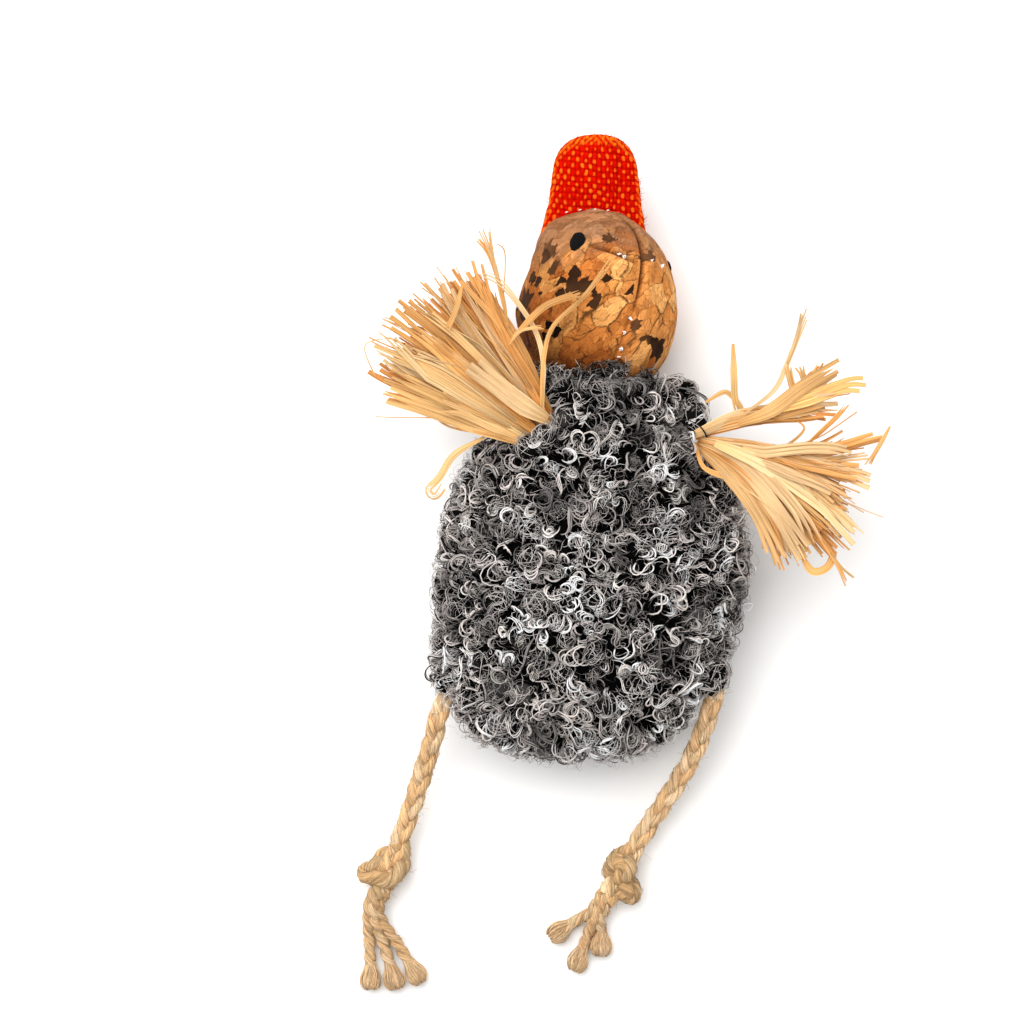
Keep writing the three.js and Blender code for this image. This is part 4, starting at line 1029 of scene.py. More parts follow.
def head_panel(side):
    """One panel: its corners and faces, marks for smooth cork, brown ground and painted shade, and the lay of
    its chips.
    """
    rise = np.linspace(HEAD_LOWEST, math.radians(89), HEAD_ROWS)[:, None]
    share = np.linspace(0, 1, HEAD_COLUMNS)[None, :]
    height = np.where(rise > 0, HEAD_CROWN, HEAD_CHIN) * np.sin(rise)
    turn = SEAM_TURN + SEAM_DRIFT * height + side * np.pi * share
    offset, facing = (grid.reshape(-1, 3) for grid in head_point(turn, rise + 0 * share))
    shift = np.stack([smooth_noise(offset, 2.4 * MM, k) for k in (1, 2, 3)], axis=1)
    swell = smooth_noise(offset, 3.2 * MM, 7)
    smooth = (offset[:, 1] - SMOOTH_START + 0.25 * np.abs(offset[:, 0] - 3 * MM)) / SMOOTH_FADE
    smooth = np.clip(smooth + 0.6 * shift[:, 1], 0, 1)
    bare, brown = bare_ground(offset)
    groove, pillow = seam_fold(offset, (HEAD_RADIUS * np.cos(rise) * np.pi * share).ravel())
    crease, bulge = brow_fold(offset)
    relief = SWELL_RISE * swell + SHIFT_RISE * shift[:, 0] - BARE_DEPTH * bare
    relief = relief + PILLOW_RISE * pillow - SEAM_DEPTH * groove + BULGE_RISE * bulge - CREASE_DEPTH * crease
    marks = np.stack([smooth, brown, cork_painted_shade(offset, groove, crease)], axis=1)
    corners = HEAD_MIDDLE + offset + relief[:, None] * facing
    lay = leaned(offset + CHIP_SHIFT * shift) - RAGGED / 2
    return corners, grid_faces(HEAD_ROWS, HEAD_COLUMNS, side > 0), marks, lay


def tone_steps(tree, value, tones):
    """One of a few tones for each value from 0 to 1, with no blending between them."""
    ramp = place_node(tree, "ShaderNodeValToRGB", {"Fac": value})
    ramp.color_ramp.interpolation = "CONSTANT"
    while len(ramp.color_ramp.elements) < len(tones):
        ramp.color_ramp.elements.new(1)
    for place, tone in enumerate(tones):
        ramp.color_ramp.elements[place].position = place / len(tones)
        ramp.color_ramp.elements[place].color = (*tone, 1)
    return ramp.outputs["Color"]


def chips_group():
    """A node group of flat chips: each one's middle, random value, grain, tilt and nearness to its edge."""
    outputs = {"Middle": "Vector", "Pick": "Float", "Grain": "Float", "Tilt": "Float", "Edge": "Float"}
    group, given, results = new_group("cork_chips", {"Place": "Vector", "Scale": "Float"}, outputs)
    place, scale = given["Place"], given["Scale"]
    cells = {"Vector": place, "Scale": scale}
    chips = place_node(group, "ShaderNodeTexVoronoi", cells)
    edges = place_node(group, "ShaderNodeTexVoronoi", cells, feature="DISTANCE_TO_EDGE")
    random = place_node(group, "ShaderNodeSeparateColor", {"Color": chips.outputs["Color"]})
    turn = worked(group, "MULTIPLY", random.outputs["Green"], 2 * math.pi)
    turning = {"Vector": place, "Angle": turn}
    turned = place_node(group, "ShaderNodeVectorRotate", turning, rotation_type="Z_AXIS")
    stretched = vectors_worked(group, "MULTIPLY", turned.outputs[0], (1.0, 0.16, 1.0))
    fine = {"Vector": stretched.outputs[0], "Scale": 4200.0, "Detail": 3.0}
    grain = place_node(group, "ShaderNodeTexNoise", fine)
    away = vectors_worked(group, "SUBTRACT", place, chips.outputs["Position"])
    leaning = vectors_worked(group, "SUBTRACT", chips.outputs["Color"], (0.5, 0.5, 0.5))
    tilt = vectors_worked(group, "DOT_PRODUCT", away.outputs[0], leaning.outputs[0])
    tilted = worked(group, "MULTIPLY", tilt.outputs["Value"], scale)
    found = {"Middle": chips.outputs["Position"], "Pick": random.outputs["Red"],
             "Grain": grain.outputs["Fac"], "Tilt": tilted, "Edge": edges.outputs["Distance"]}
    for name, socket in found.items():
        group.links.new(socket, results[name])
    return group


def chips_node(tree, place, size):
    """Chips of one size."""
    return place_node(tree, "ShaderNodeGroup", {"Place": place, "Scale": 1 / size}, node_tree=cork_chips)


def missing_chips(tree, middle, place):
    """How far each flake lies from the nearest bare spot, as a share of the spot's size."""
    near = place_node(tree, "ShaderNodeMix", {0: 0.35, 4: middle, 5: place}, data_type="VECTOR").outputs[1]
    along = vectors_worked(tree, "DOT_PRODUCT", near, tuple(CHIP_AXIS)).outputs["Value"]
    back = vectors_worked(tree, "SCALE", tuple((1 / CHIP_SQUEEZE - 1) * CHIP_AXIS))
    tree.links.new(along, back.inputs["Scale"])
    upright = vectors_worked(tree, "ADD", near, back.outputs[0]).outputs[0]
    least = 9.0
    for across, up, half_width, half_height, _ in BARE_SPOTS:
        shrink = (1 / (half_width * MM), 1 / (half_height * MM), 0)
        shift = (-across / half_width, -up / half_height, 0)
        away = vectors_worked(tree, "MULTIPLY_ADD", upright, shrink, shift)
        gap = vectors_worked(tree, "LENGTH", away.outputs[0]).outputs["Value"]
        least = worked(tree, "MINIMUM", gap, least)
    return least


def cork_lines(tree, chips, flakes, wear, tear):
    """The dark joints between chips, the finer splits between flakes and small pores, from 0 to 1."""
    joint = in_range(tree, wear, 0.42, 0.68, 0.006, 0.085)
    darkest = in_range(tree, wear, 0.42, 0.58, 0.3, 0.95)
    joints = in_range(tree, chips.outputs["Edge"], 0.0, joint, darkest, 0.0)
    split = in_range(tree, tear, 0.48, 0.7, 0.003, 0.075)
    splits = in_range(tree, flakes.outputs["Edge"], 0.0, split, 0.5, 0.0)
    pores = in_range(tree, tear, 0.66, 0.7, 0.0, 0.6)
    return worked(tree, "MAXIMUM", worked(tree, "MAXIMUM", joints, splits), pores)


def cork_material():
    """Cork: chips and smaller flakes with dark joints and grain, smoother above, bare in the bare spots."""
    material, tree, principled = new_material("cork", Roughness=0.85, Specular_IOR_Level=0.06)
    marks = place_node(tree, "ShaderNodeAttribute", attribute_name="tone")
    mark = place_node(tree, "ShaderNodeSeparateColor", {"Color": marks.outputs["Color"]})
    smooth, brown, shaded = (mark.outputs[name] for name in ("Red", "Green", "Blue"))
    lay = place_node(tree, "ShaderNodeAttribute", attribute_name="lay").outputs["Vector"]
    tearing = {"Vector": lay, "Scale": 1100.0, "Detail": 4.0, "Roughness": 0.65}
    tear = place_node(tree, "ShaderNodeTexNoise", tearing)
    wearing = {"Vector": lay, "Scale": 420.0, "Detail": 2.0}
    wear = place_node(tree, "ShaderNodeTexNoise", wearing).outputs["Fac"]
    ragged = vectors_worked(tree, "MULTIPLY_ADD", tear.outputs["Color"], (RAGGED,) * 3, lay).outputs[0]
    chips, flakes = chips_node(tree, ragged, CHIP_SIZE), chips_node(tree, ragged, FLAKE_SIZE)

    lines = cork_lines(tree, chips, flakes, wear, tear.outputs["Fac"])
    lines = worked(tree, "MULTIPLY", lines, in_range(tree, smooth, 0.0, 1.0, 1.0, 0.4))
    gap = missing_chips(tree, flakes.outputs["Middle"], ragged)
    torn = worked(tree, "MULTIPLY_ADD", tear.outputs["Fac"], -0.5, gap)
    dark = worked(tree, "MAXIMUM", lines, in_range(tree, torn, 0.75, 0.7))

    chip_tone = tone_steps(tree, chips.outputs["Pick"], CHIP_TONES)
    tone = colour_mix(tree, smooth, chip_tone, tone_steps(tree, chips.outputs["Pick"], SMOOTH_TONES))
    grain = in_range(tree, chips.outputs["Grain"], 0.3, 0.7, 0.72, 1.14)
    flake = in_range(tree, flakes.outputs["Pick"], 0.0, 1.0, 0.74, 1.12)
    # The marks' painted shade darkens the cork's grain and flakes, and warms the tone as it darkens
    light = worked(tree, "MULTIPLY", worked(tree, "MULTIPLY", grain, flake), shaded)
    warmth = {"Red": light, "Green": worked(tree, "POWER", light, 1.2),
              "Blue": worked(tree, "POWER", light, 1.5)}
    warm_light = place_node(tree, "ShaderNodeCombineColor", warmth).outputs[0]
    lit = colour_mix(tree, 1.0, tone, warm_light, "MULTIPLY")
    browned = worked(tree, "MULTIPLY", brown, in_range(tree, wear, 0.3, 0.7, 0.5, 1.3))
    ground = colour_mix(tree, browned, (*GROUND_DARK, 1), (*GROUND_LIGHT, 1))

    tilt = worked(tree, "ADD", chips.outputs["Tilt"], flakes.outputs["Tilt"])
    sunk = worked(tree, "MULTIPLY_ADD", dark, -1.2, tilt)
    height = worked(tree, "MULTIPLY_ADD", chips.outputs["Grain"], 0.5, sunk)
    bump = place_node(tree, "ShaderNodeBump", {"Strength": 0.9, "Distance": 0.2 * MM, "Height": height})
    tree.links.new(colour_mix(tree, dark, lit, ground), principled.inputs["Base Color"])
    tree.links.new(bump.outputs[0], principled.inputs["Normal"])
    return material


cork_chips = chips_group()
cork = cork_material()
for name, side in (("left", -1), ("right", 1)):
    panel = add_mesh_piece(f"head_{name}_cork", [head_panel(side)], cork)
    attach(panel, "head")
    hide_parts(f"head_{name}_panel")


# Seam thread: bits of the white sewing thread that joins the panels, cut short and frayed, which show on the
# head's seam and beside the brow. Each is placed across and up from the head's middle, in millimetres.
SEAM_BITS = [(3.8, 9.5), (4.7, 9.0), (9.6, 8.5), (11.6, 7.6),
             (5.8, -2.0), (4.7, -4.5), (4.2, -7.4), (3.7, -8.8)]
BIT_STRANDS, BIT_RADIUS, BIT_LIFT = 3, 0.085 * MM, 0.25 * MM
BIT_TONES = [(0.9, 0.88, 0.84)]
bit_draw = np.random.default_rng(23)
bit_lines = []
for across, up in SEAM_BITS:
    ring = HEAD_RADIUS * math.sqrt(1 - (up * MM / (HEAD_CROWN if up > 0 else HEAD_CHIN))**2)
    front = math.sqrt(ring**2 - (across * MM)**2)
    middle = HEAD_MIDDLE + np.array([across * MM, up * MM, front + BIT_LIFT])
    u = np.linspace(-1, 1, 9)[:, None]
    for _ in range(BIT_STRANDS):
        heading = unit(bit_draw.normal(size=3) * np.array([1, 0.8, 0.2]))
        bend = np.array([0, 0, 0.2]) + bit_draw.normal(0, 0.25, 3)
        bit_lines.append(middle + (u * bit_draw.uniform(0.15, 0.34) * heading + (0.5 - u**2) * bend) * MM)
bit_tones = tones_near(BIT_TONES, len(bit_lines), 0.05, bit_draw)
bit_part = strand_part(np.array(bit_lines), BIT_RADIUS, THREAD_SIDES, bit_tones)
seam_thread = add_mesh_piece("head_seam_thread", [bit_part], thread)
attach(seam_thread, "head")


# Eyes: flat drops of matt black, each set in a dimple of the cork, wider above than below. Each starts as the
# ball that fills its solid, and is then drawn out, tapered and set in its place.
EYE_WIDE, EYE_TALL, EYE_TAPER = 1.12, 1.7, 0.3
EYE_DROP, EYE_LEAN = 1.2 * MM, 0.35 * MM
EYE_FILL, EYE_LUMP = 1.06, 0.06
EYE_DARK, EYE_LIGHT = (0.0012, 0.0012, 0.0012, 1), (0.005, 0.005, 0.005, 1)
EYE_SINK = {"left_eye": Vector((0.2, 0, 1.0)) * MM, "right_eye": Vector((-0.5, 0, 0)) * MM}
eye_black = mottled_material("eye_black", EYE_DARK, EYE_LIGHT, 2500.0, 0.05 * MM, Roughness=0.8,
                             Specular_IOR_Level=0.08)
for name, sink in EYE_SINK.items():
    eye = soft_ball(f"{name}_bead", name, EYE_FILL, EYE_LUMP)
    low, high = (Vector(corner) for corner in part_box(name))
    middle = (low + high) / 2
    for corner in eye.data.vertices:
        up = (corner.co.y - middle.y) / (high.y - low.y)
        corner.co.y = middle.y + (corner.co.y - middle.y) * EYE_TALL - EYE_DROP
        corner.co.x = middle.x + (corner.co.x - middle.x) * (EYE_WIDE + EYE_TAPER * up) + EYE_LEAN * up
        corner.co += sink
    eye.data.materials.append(eye_black)
    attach(eye, "head")
    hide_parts(name)


# Bill: a front and a back layer of coarse red and orange woven cloth, sewn to the head's crown and rounded
# at the tip, puffed by a thin padding. The weave is raised in the mesh; white thread shows along the root.
BILL_LENGTH, BILL_CLEAR = 13.2 * MM, 0.6 * MM
BILL_LEFT_HALVES, BILL_RIGHT_HALVES = (9.2 * MM, 8.0 * MM), (8.6 * MM, 7.4 * MM)
BILL_LEFT_FLARE, BILL_RIGHT_FLARE = 1.5 * MM, 0.5 * MM
BILL_TIP_DEPTH, BILL_CORNER = 8.0 * MM, 2.4
EDGE_WOBBLE = 0.3 * MM
BILL_PUFF, BILL_CLOTH, BILL_PARTED = 1.8 * MM, 0.7 * MM, 0.1 * MM
BILL_OVERLAP = 0.9 * MM
BILL_FOLDS, FOLD_WIDTH = [(4.2, 0.5), (-6.4, 0.35)], 0.75 * MM
WEAVE_ACROSS, WEAVE_ALONG = 1.5 * MM, 2.2 * MM
WEAVE_RAISED = 0.18 * MM
BORDER_STRIPE, BORDER_SHARE = 1.1 * MM, 0.14
FRAY_COUNT, FRAY_LENGTH, FRAY_FIRST_ROW = 160, 0.75 * MM, 20
BILL_RED, BILL_ORANGE = np.array([0.6, 0.004, 0.0008]), np.array([0.95, 0.17, 0.01])
BILL_ROWS, BILL_COLUMNS = 120, 150


def half_width(along, halves, flare):
    """How far the bill reaches to one side, from its flared root to its tip."""
    root, tip = halves
    return root + (tip - root) * along + flare * np.clip(1 - along / 0.8, 0, 1)**2


def bill_outline():
    """The bill laid flat: how far along and across each point is, its place and nearness to the rim."""
    along = np.linspace(0, 1, BILL_ROWS)[:, None]
    across = np.linspace(-1, 1, BILL_COLUMNS)[None, :]
    x = across * np.where(across < 0, half_width(along, BILL_LEFT_HALVES, BILL_LEFT_FLARE),
                          half_width(along, BILL_RIGHT_HALVES, BILL_RIGHT_FLARE))
    edge_line = np.stack([np.sign(across) + 0 * along, 9 * along + 0 * across, 0 * x], axis=-1).reshape(-1, 3)
    x = x + EDGE_WOBBLE * smooth_noise(edge_line, 1.0, 15).reshape(x.shape) * np.abs(across)**4
    root_y = HEAD_MIDDLE[1] + HEAD_CROWN * np.sqrt(1 - (x / HEAD_RADIUS)**2) - BILL_OVERLAP
    tip_y = HEAD_MIDDLE[1] + HEAD_CROWN + BILL_CLEAR + BILL_LENGTH - BILL_TIP_DEPTH
    tip_y = tip_y + BILL_TIP_DEPTH * (1 - np.abs(across)**BILL_CORNER)**(1 / BILL_CORNER)
    y = root_y + along * (tip_y - root_y)
    rim = np.minimum(1 - np.abs(across) + 0 * along, 1 - along + 0 * across)
    return along, across, x, y, rim


def bill_layer(side):
    """One layer of the bill, from its root on the crown to its tip, facing forwards or back."""
    along, across, x, y, rim = bill_outline()
    puff = np.clip(1 - across**2, 0, 1) * np.clip(along / 0.4, 0, 1) * np.clip((1 - along) / 0.3, 0, 1)
    fold = sum(depth * MM * np.exp(-((x - middle * MM) / FOLD_WIDTH)**2) for middle, depth in BILL_FOLDS)
    flat = np.stack([x + 0 * y, y + 0 * x, 0 * (x + y)], axis=-1).reshape(-1, 3)
    bend, uneven, size, grain = (smooth_noise(flat, scale * MM, k + 4 * side).reshape(x.shape)
                                 for k, scale in ((11, 3.0), (12, 3.0), (13, 1.6), (14, 0.45)))
    weave = (np.sin(2 * np.pi * (x + 0.45 * MM * bend) / WEAVE_ACROSS)
             * np.sin(2 * np.pi * (y + 0.5 * MM * uneven + 0.12 * x) / WEAVE_ALONG))
    edge = np.clip(rim / 0.05, 0, 1)
    lift = BILL_PARTED + BILL_CLOTH * np.sqrt(edge) + BILL_PUFF * puff - fold * np.clip(along / 0.3, 0, 1)
    lift = lift + WEAVE_RAISED * np.abs(weave)**0.6 * edge
    z = HEAD_MIDDLE[2] + side * lift
    border = np.clip(1 - rim / BORDER_SHARE, 0, 1)
    stripes = 0.5 + 0.5 * np.sin(2 * np.pi * (np.abs(x) + y + 0.4 * MM * bend) / BORDER_STRIPE)
    mix = np.clip(2.6 * weave - 1.15 + 1.6 * size, 0, 1)
    mix = np.maximum(mix, np.clip(2 * border, 0, 1) * stripes)[..., None] * 0.9
    # Painted shade in the weave's hollows, between its raised yarns, with the grain's own differences in tone
    deep = ((1 - 0.35 * np.clip(1 - np.abs(weave) / 0.4, 0, 1)) * (1 + 0.5 * grain))[..., None]
    tones = deep * ((1 - mix) * BILL_RED + mix * BILL_ORANGE)
    corners = np.stack([HEAD_MIDDLE[0] + x, y, z], axis=-1).reshape(-1, 3)
    lay = np.stack([x, y + 0 * x, 0 * x + 0 * y], axis=-1).reshape(-1, 3)
    return corners, grid_faces(BILL_ROWS, BILL_COLUMNS, side > 0), tones.reshape(-1, 3), lay


red_weave = strand_material("red_weave", fineness=5200, stretch=1.4, shade=0.4, depth=0.06 * MM,
                            Roughness=0.9, Specular_IOR_Level=0.0)
fray_tones = [BILL_RED, BILL_ORANGE, BILL_ORANGE]
fray_draw = np.random.default_rng(9)
for name, side in (("front", 1), ("back", -1)):
    cloth = bill_layer(side)
    rows = cloth[0].reshape(BILL_ROWS, BILL_COLUMNS, 3)
    rim = np.vstack([rows[FRAY_FIRST_ROW:, 0], rows[-1], rows[FRAY_FIRST_ROW:, -1]])
    fray = hair_part(rim, 0.0, FRAY_COUNT, FRAY_LENGTH, fray_tones, fray_draw)
    layer = add_mesh_piece(f"bill_{name}_weave", [cloth, fray], red_weave)
    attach(layer, "bill")
    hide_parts(f"bill_{name}_layer")


# Bill stitches: the ends of the white sewing thread that holds the bill, which show along its root. Each is
# placed across and up, in millimetres.
STITCHES = [(-4.2, 65.2), (-1.8, 65.6), (0.9, 65.7), (3.2, 65.5)]
STITCH_RADIUS, STITCH_FORWARD = 0.12 * MM, 2.0 * MM
STITCH_REACH, STITCH_ARCH = np.array([0.2, 0.06, 0]) * MM, np.array([0, 0, 0.4]) * MM
stitch_draw = np.random.default_rng(8)
stitch_lines = []
for x, y in STITCHES:
    u = np.linspace(-1, 1, 9)[:, None]
    middle = np.array([x * MM, y * MM, HEAD_MIDDLE[2] + STITCH_FORWARD])
    stitch_lines.append(middle + u * STITCH_REACH + (1 - u**2) * STITCH_ARCH)
stitch_tones = tones_near(THREAD_TONES, len(STITCHES), 0.05, stitch_draw)
stitch_part = strand_part(np.array(stitch_lines), STITCH_RADIUS, THREAD_SIDES, stitch_tones)
stitching = add_mesh_piece("bill_root_stitches", [stitch_part], thread)
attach(stitching, "bill")
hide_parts("bill_stitching")


# Wings: fans of dry raffia strips, gathered and sewn in at the corners of neck and shoulder. Each strip is
# three thin ribbons side by side that part at its frayed, cut end. Most strips fill a fan between a few guide
# lines; the strips that are easiest to see are laid one by one, and fine threads split off between them.
RAFFIA_TONES = [(0.93, 0.53, 0.2), (0.9, 0.47, 0.155), (0.95, 0.62, 0.31), (0.87, 0.41, 0.12),
                (0.92, 0.55, 0.23)]
# Painted shade: strips that lie low, under others, are darkened by the sunk shade, and every strip towards
# its gathered root
SUNK_SHADE, ROOT_SHADE = np.array([0.26, 0.5, 0.68]), np.array([0.9, 0.8, 0.64])
ROOT_FADE = 0.3
RAFFIA_THICKNESS, RAFFIA_SHARP = 0.1 * MM, math.radians(35)
RAFFIA_SEEN_THROUGH = 0.2
STRIP_POINTS = 30
STRIP_NARROWEST, STRIP_WIDEST = 1.4 * MM, 3.1 * MM
STRIP_PARTS, STRIP_FRAYS = 0.72, 0.85
SPLIT_THINNEST, SPLIT_THICKEST = 0.08 * MM, 0.18 * MM
STRIP_SWAY, STRIP_KINK, KINKED_SHARE = 0.7 * MM, 7 * MM, 0.4
# Each fan: its wing, guide lines from root to tip (across and up, in millimetres), its numbers of strips and
# threads, and the heights of its root and of its lowest and highest strips
FANS = [
    {"wing": "left", "strips": 38, "threads": 46, "root": 24.6, "low": 26.0, "high": 32.4, "guides": [
        [(-11.2, 23.8), (-21.6, 26.6), (-30.6, 30.1), (-38.5, 33.1)],
        [(-9.9, 24.7), (-19.8, 31.5), (-29.7, 37.8), (-39.6, 42.7)],
        [(-8.1, 26.1), (-17.1, 35.1), (-26.1, 43.2), (-35.1, 50.0)],
        [(-7.2, 26.8), (-14.4, 36.9), (-21.6, 45.9), (-27.7, 54.9)],
        [(-6.3, 27.5), (-12.2, 37.8), (-16.2, 46.8), (-19.6, 55.3)]]},
    {"wing": "right", "strips": 40, "threads": 40, "root": 23.4, "low": 27.0, "high": 31.4, "guides": [
        [(18.4, 23.4), (23.8, 18.5), (29.7, 10.8), (34.0, 0.4)],
        [(18.7, 23.8), (26.1, 18.5), (33.3, 9.9), (37.8, 1.8)],
        [(18.7, 24.1), (27.9, 19.3), (37.8, 10.8), (45.9, 2.7)],
        [(18.7, 24.3), (28.8, 20.7), (39.6, 14.4), (48.2, 6.3)],
        [(18.7, 24.5), (29.7, 22.1), (40.5, 18.5), (50.0, 15.3)],
        [(18.7, 24.7), (29.7, 23.0), (40.5, 21.6), (51.5, 24.3)]]},
    {"wing": "right", "strips": 9, "threads": 9, "root": 23.4, "low": 27.0, "high": 30.4, "guides": [
        [(18.4, 24.7), (27.0, 27.0), (36.0, 27.9), (44.6, 30.6)],
        [(18.4, 25.0), (26.1, 27.9), (35.1, 29.7), (46.8, 33.7)],
        [(18.4, 25.2), (25.2, 27.9), (35.1, 30.1), (44.6, 37.6)]]},
]
# Strips laid one by one: width, heights of both ends, then points across and up, all in millimetres
LAID_STRIPS = {
    "left": [
        (3.6, 27.0, 33.0, [(-6.7, 27.2), (-12.6, 30.6), (-22.0, 38.0)]),
        (2.8, 26.6, 32.0, [(-11.5, 23.4), (-25.2, 28.3), (-38.5, 33.1)]),
        (0.9, 27.0, 33.0, [(-8.6, 26.1), (-8.6, 32.4), (-8.5, 38.0), (-9.7, 43.0),
                           (-12.4, 47.5), (-16.2, 52.0), (-19.4, 53.6)]),
        (0.8, 27.0, 33.4, [(-8.8, 26.1), (-8.8, 32.4), (-8.3, 39.2),
                           (-6.7, 44.3), (-1.1, 49.7), (3.8, 56.2)]),
        (1.2, 32.0, 33.2, [(-14.6, 41.2), (-12.4, 43.7), (-7.9, 47.9), (-1.4, 50.2)]),
        (0.6, 32.0, 33.0, [(-14.6, 40.9), (-12.4, 43.4), (-8.1, 44.1)]),
        (1.4, 27.0, 26.0, [(-18.9, 24.7), (-24.3, 21.6), (-27.0, 17.5),
                           (-29.0, 15.3), (-27.7, 14.0), (-25.9, 16.4)]),
        (0.8, 31.0, 32.6, [(-14.8, 44.1), (-15.7, 49.5), (-18.0, 56.7), (-21.1, 60.7)]),
        (0.7, 31.0, 32.6, [(-14.8, 44.5), (-16.2, 51.3), (-17.5, 56.3), (-19.6, 61.4)]),
        (0.5, 31.0, 32.6, [(-14.6, 44.1), (-16.0, 49.5), (-17.1, 54.9), (-18.2, 61.7)]),
        (0.2, 31.0, 32.0, [(-15.5, 49.5), (-15.3, 57.1), (-16.9, 59.0)]),
        (0.4, 29.0, 28.0, [(-29.7, 30.1), (-25.2, 26.5), (-17.1, 25.0), (-12.2, 23.4)]),
        (0.2, 31.0, 31.0, [(-34.2, 42.3), (-40.0, 40.9), (-38.2, 35.1)]),
        (2.8, 26.4, 32.8, [(-12.0, 24.4), (-20.6, 28.6), (-27.2, 31.3)]),
        (2.0, 26.8, 32.9, [(-10.0, 26.4), (-17.0, 32.4), (-23.4, 38.6), (-27.2, 42.2)]),
        (2.8, 26.6, 32.6, [(-10.4, 25.8), (-18.0, 32.0), (-27.4, 39.4), (-32.0, 43.2), (-36.4, 46.6)]),
        (2.6, 26.8, 32.4, [(-8.6, 27.0), (-16.6, 36.6), (-23.0, 45.6), (-26.8, 52.6)]),
        (2.2, 27.0, 32.6, [(-7.6, 27.6), (-13.6, 38.4), (-17.8, 47.6), (-20.4, 56.2)]),
        (0.9, 33.1, 33.1, [(-22.8, 51.6), (-24.0, 47.0), (-25.6, 43.4)]),
        (2.2, 26.6, 32.2, [(-11.4, 24.4), (-22.6, 30.2), (-31.4, 35.4), (-37.6, 40.0)]),
    ],
    "right": [
        (3.4, 25.4, 31.0, [(18.2, 25.0), (24.7, 27.5), (31.7, 28.8), (38.5, 30.2), (44.6, 30.6)]),
        (2.6, 29.5, 31.4, [(26.1, 27.0), (31.7, 29.2), (37.8, 33.7), (44.3, 37.6)]),
        (2.6, 30.0, 31.2, [(32.4, 29.2), (39.2, 31.7), (45.4, 33.8), (49.3, 33.7)]),
        (0.9, 29.0, 31.0, [(27.0, 28.6), (32.4, 32.9), (34.7, 37.6), (37.3, 44.1), (38.5, 47.3)]),
        (0.6, 30.5, 31.0, [(34.7, 37.6), (36.5, 43.2), (37.4, 47.3)]),
        (1.3, 30.0, 31.0, [(36.4, 31.1), (35.3, 34.7), (34.7, 37.8)]),
        (1.2, 30.0, 31.0, [(37.1, 31.5), (37.8, 34.2), (36.7, 37.6)]),
        (0.9, 27.0, 26.2, [(20.3, 30.8), (23.4, 32.6), (24.8, 32.2), (26.6, 30.1), (26.8, 28.0)]),
        (1.3, 28.4, 26.2, [(25.2, 41.2), (25.4, 35.1), (25.6, 31.5), (26.6, 28.2)]),
        (2.4, 29.5, 31.0, [(33.3, 21.4), (43.2, 22.5), (48.6, 23.9), (51.8, 24.7)]),
        (0.9, 31.0, 31.4, [(52.9, 26.5), (50.9, 22.9), (48.8, 19.3)]),
        (0.9, 30.0, 31.0, [(37.8, 22.9), (43.2, 27.9), (45.7, 31.0)]),
        (3.4, 28.5, 31.2, [(22.0, 23.6), (31.7, 19.4), (41.9, 12.2), (48.2, 5.8)]),
        (2.8, 28.5, 31.0, [(27.0, 23.0), (39.6, 20.2), (50.4, 16.4)]),
        (1.2, 25.4, 29.0, [(18.5, 23.8), (19.8, 19.6), (22.0, 18.2), (26.1, 16.4), (30.6, 9.0), (34.0, 0.0)]),
        (1.4, 29.0, 29.0, [(37.1, 4.0), (39.2, 0.9), (41.9, 1.6), (43.2, 4.5)]),
        (0.7, 30.0, 31.0, [(37.8, 10.8), (43.2, 2.7), (45.4, -2.0)]),
        (0.6, 30.5, 31.0, [(42.3, 4.1), (44.3, 1.6), (46.8, -0.5)]),
        (0.5, 29.0, 29.0, [(36.0, 27.9), (37.8, 26.1), (35.1, 23.4), (32.4, 22.5)]),
    ],
}


def ribbon_part(lines, widths, side, up, folds, tones):
    """Thin ribbons along lines, each folded a little along its middle."""
    count, points = lines.shape[:2]
    across = np.array([-1, 0, 1, 1, 0, -1])
    layer = np.array([-1, -1, -1, 1, 1, 1]) * RAFFIA_THICKNESS / 2
    half = widths[..., None] / 2
    height = layer + folds[:, None, None] * half * (across**2 - 0.5)
    aside = half * across
    corners = lines[:, :, None] + aside[..., None] * side[:, :, None] + height[..., None] * up[:, :, None]
    along = lengths_along(lines)[..., None] + 0 * height
    lay = np.stack([aside + 0 * height, 0 * height, along], axis=3)
    lay = lay + np.arange(count)[:, None, None, None] * np.array([9, 0, 13]) * MM
    tones = np.broadcast_to(tones[:, :, None], (count, points, 6, 3))
    return corners.reshape(-1, 3), ring_faces(count, points, 6), tones.reshape(-1, 3), lay.reshape(-1, 3)


def cut_lines(lines, shares):
    """The first share of each line, with as many points as before."""
    points = lines.shape[1]
    place = shares[:, None] * np.arange(points)
    low = np.minimum(place.astype(int), points - 2)
    part = (place - low)[..., None]
    row = np.arange(len(lines))[:, None]
    return (1 - part) * lines[row, low] + part * lines[row, low + 1]


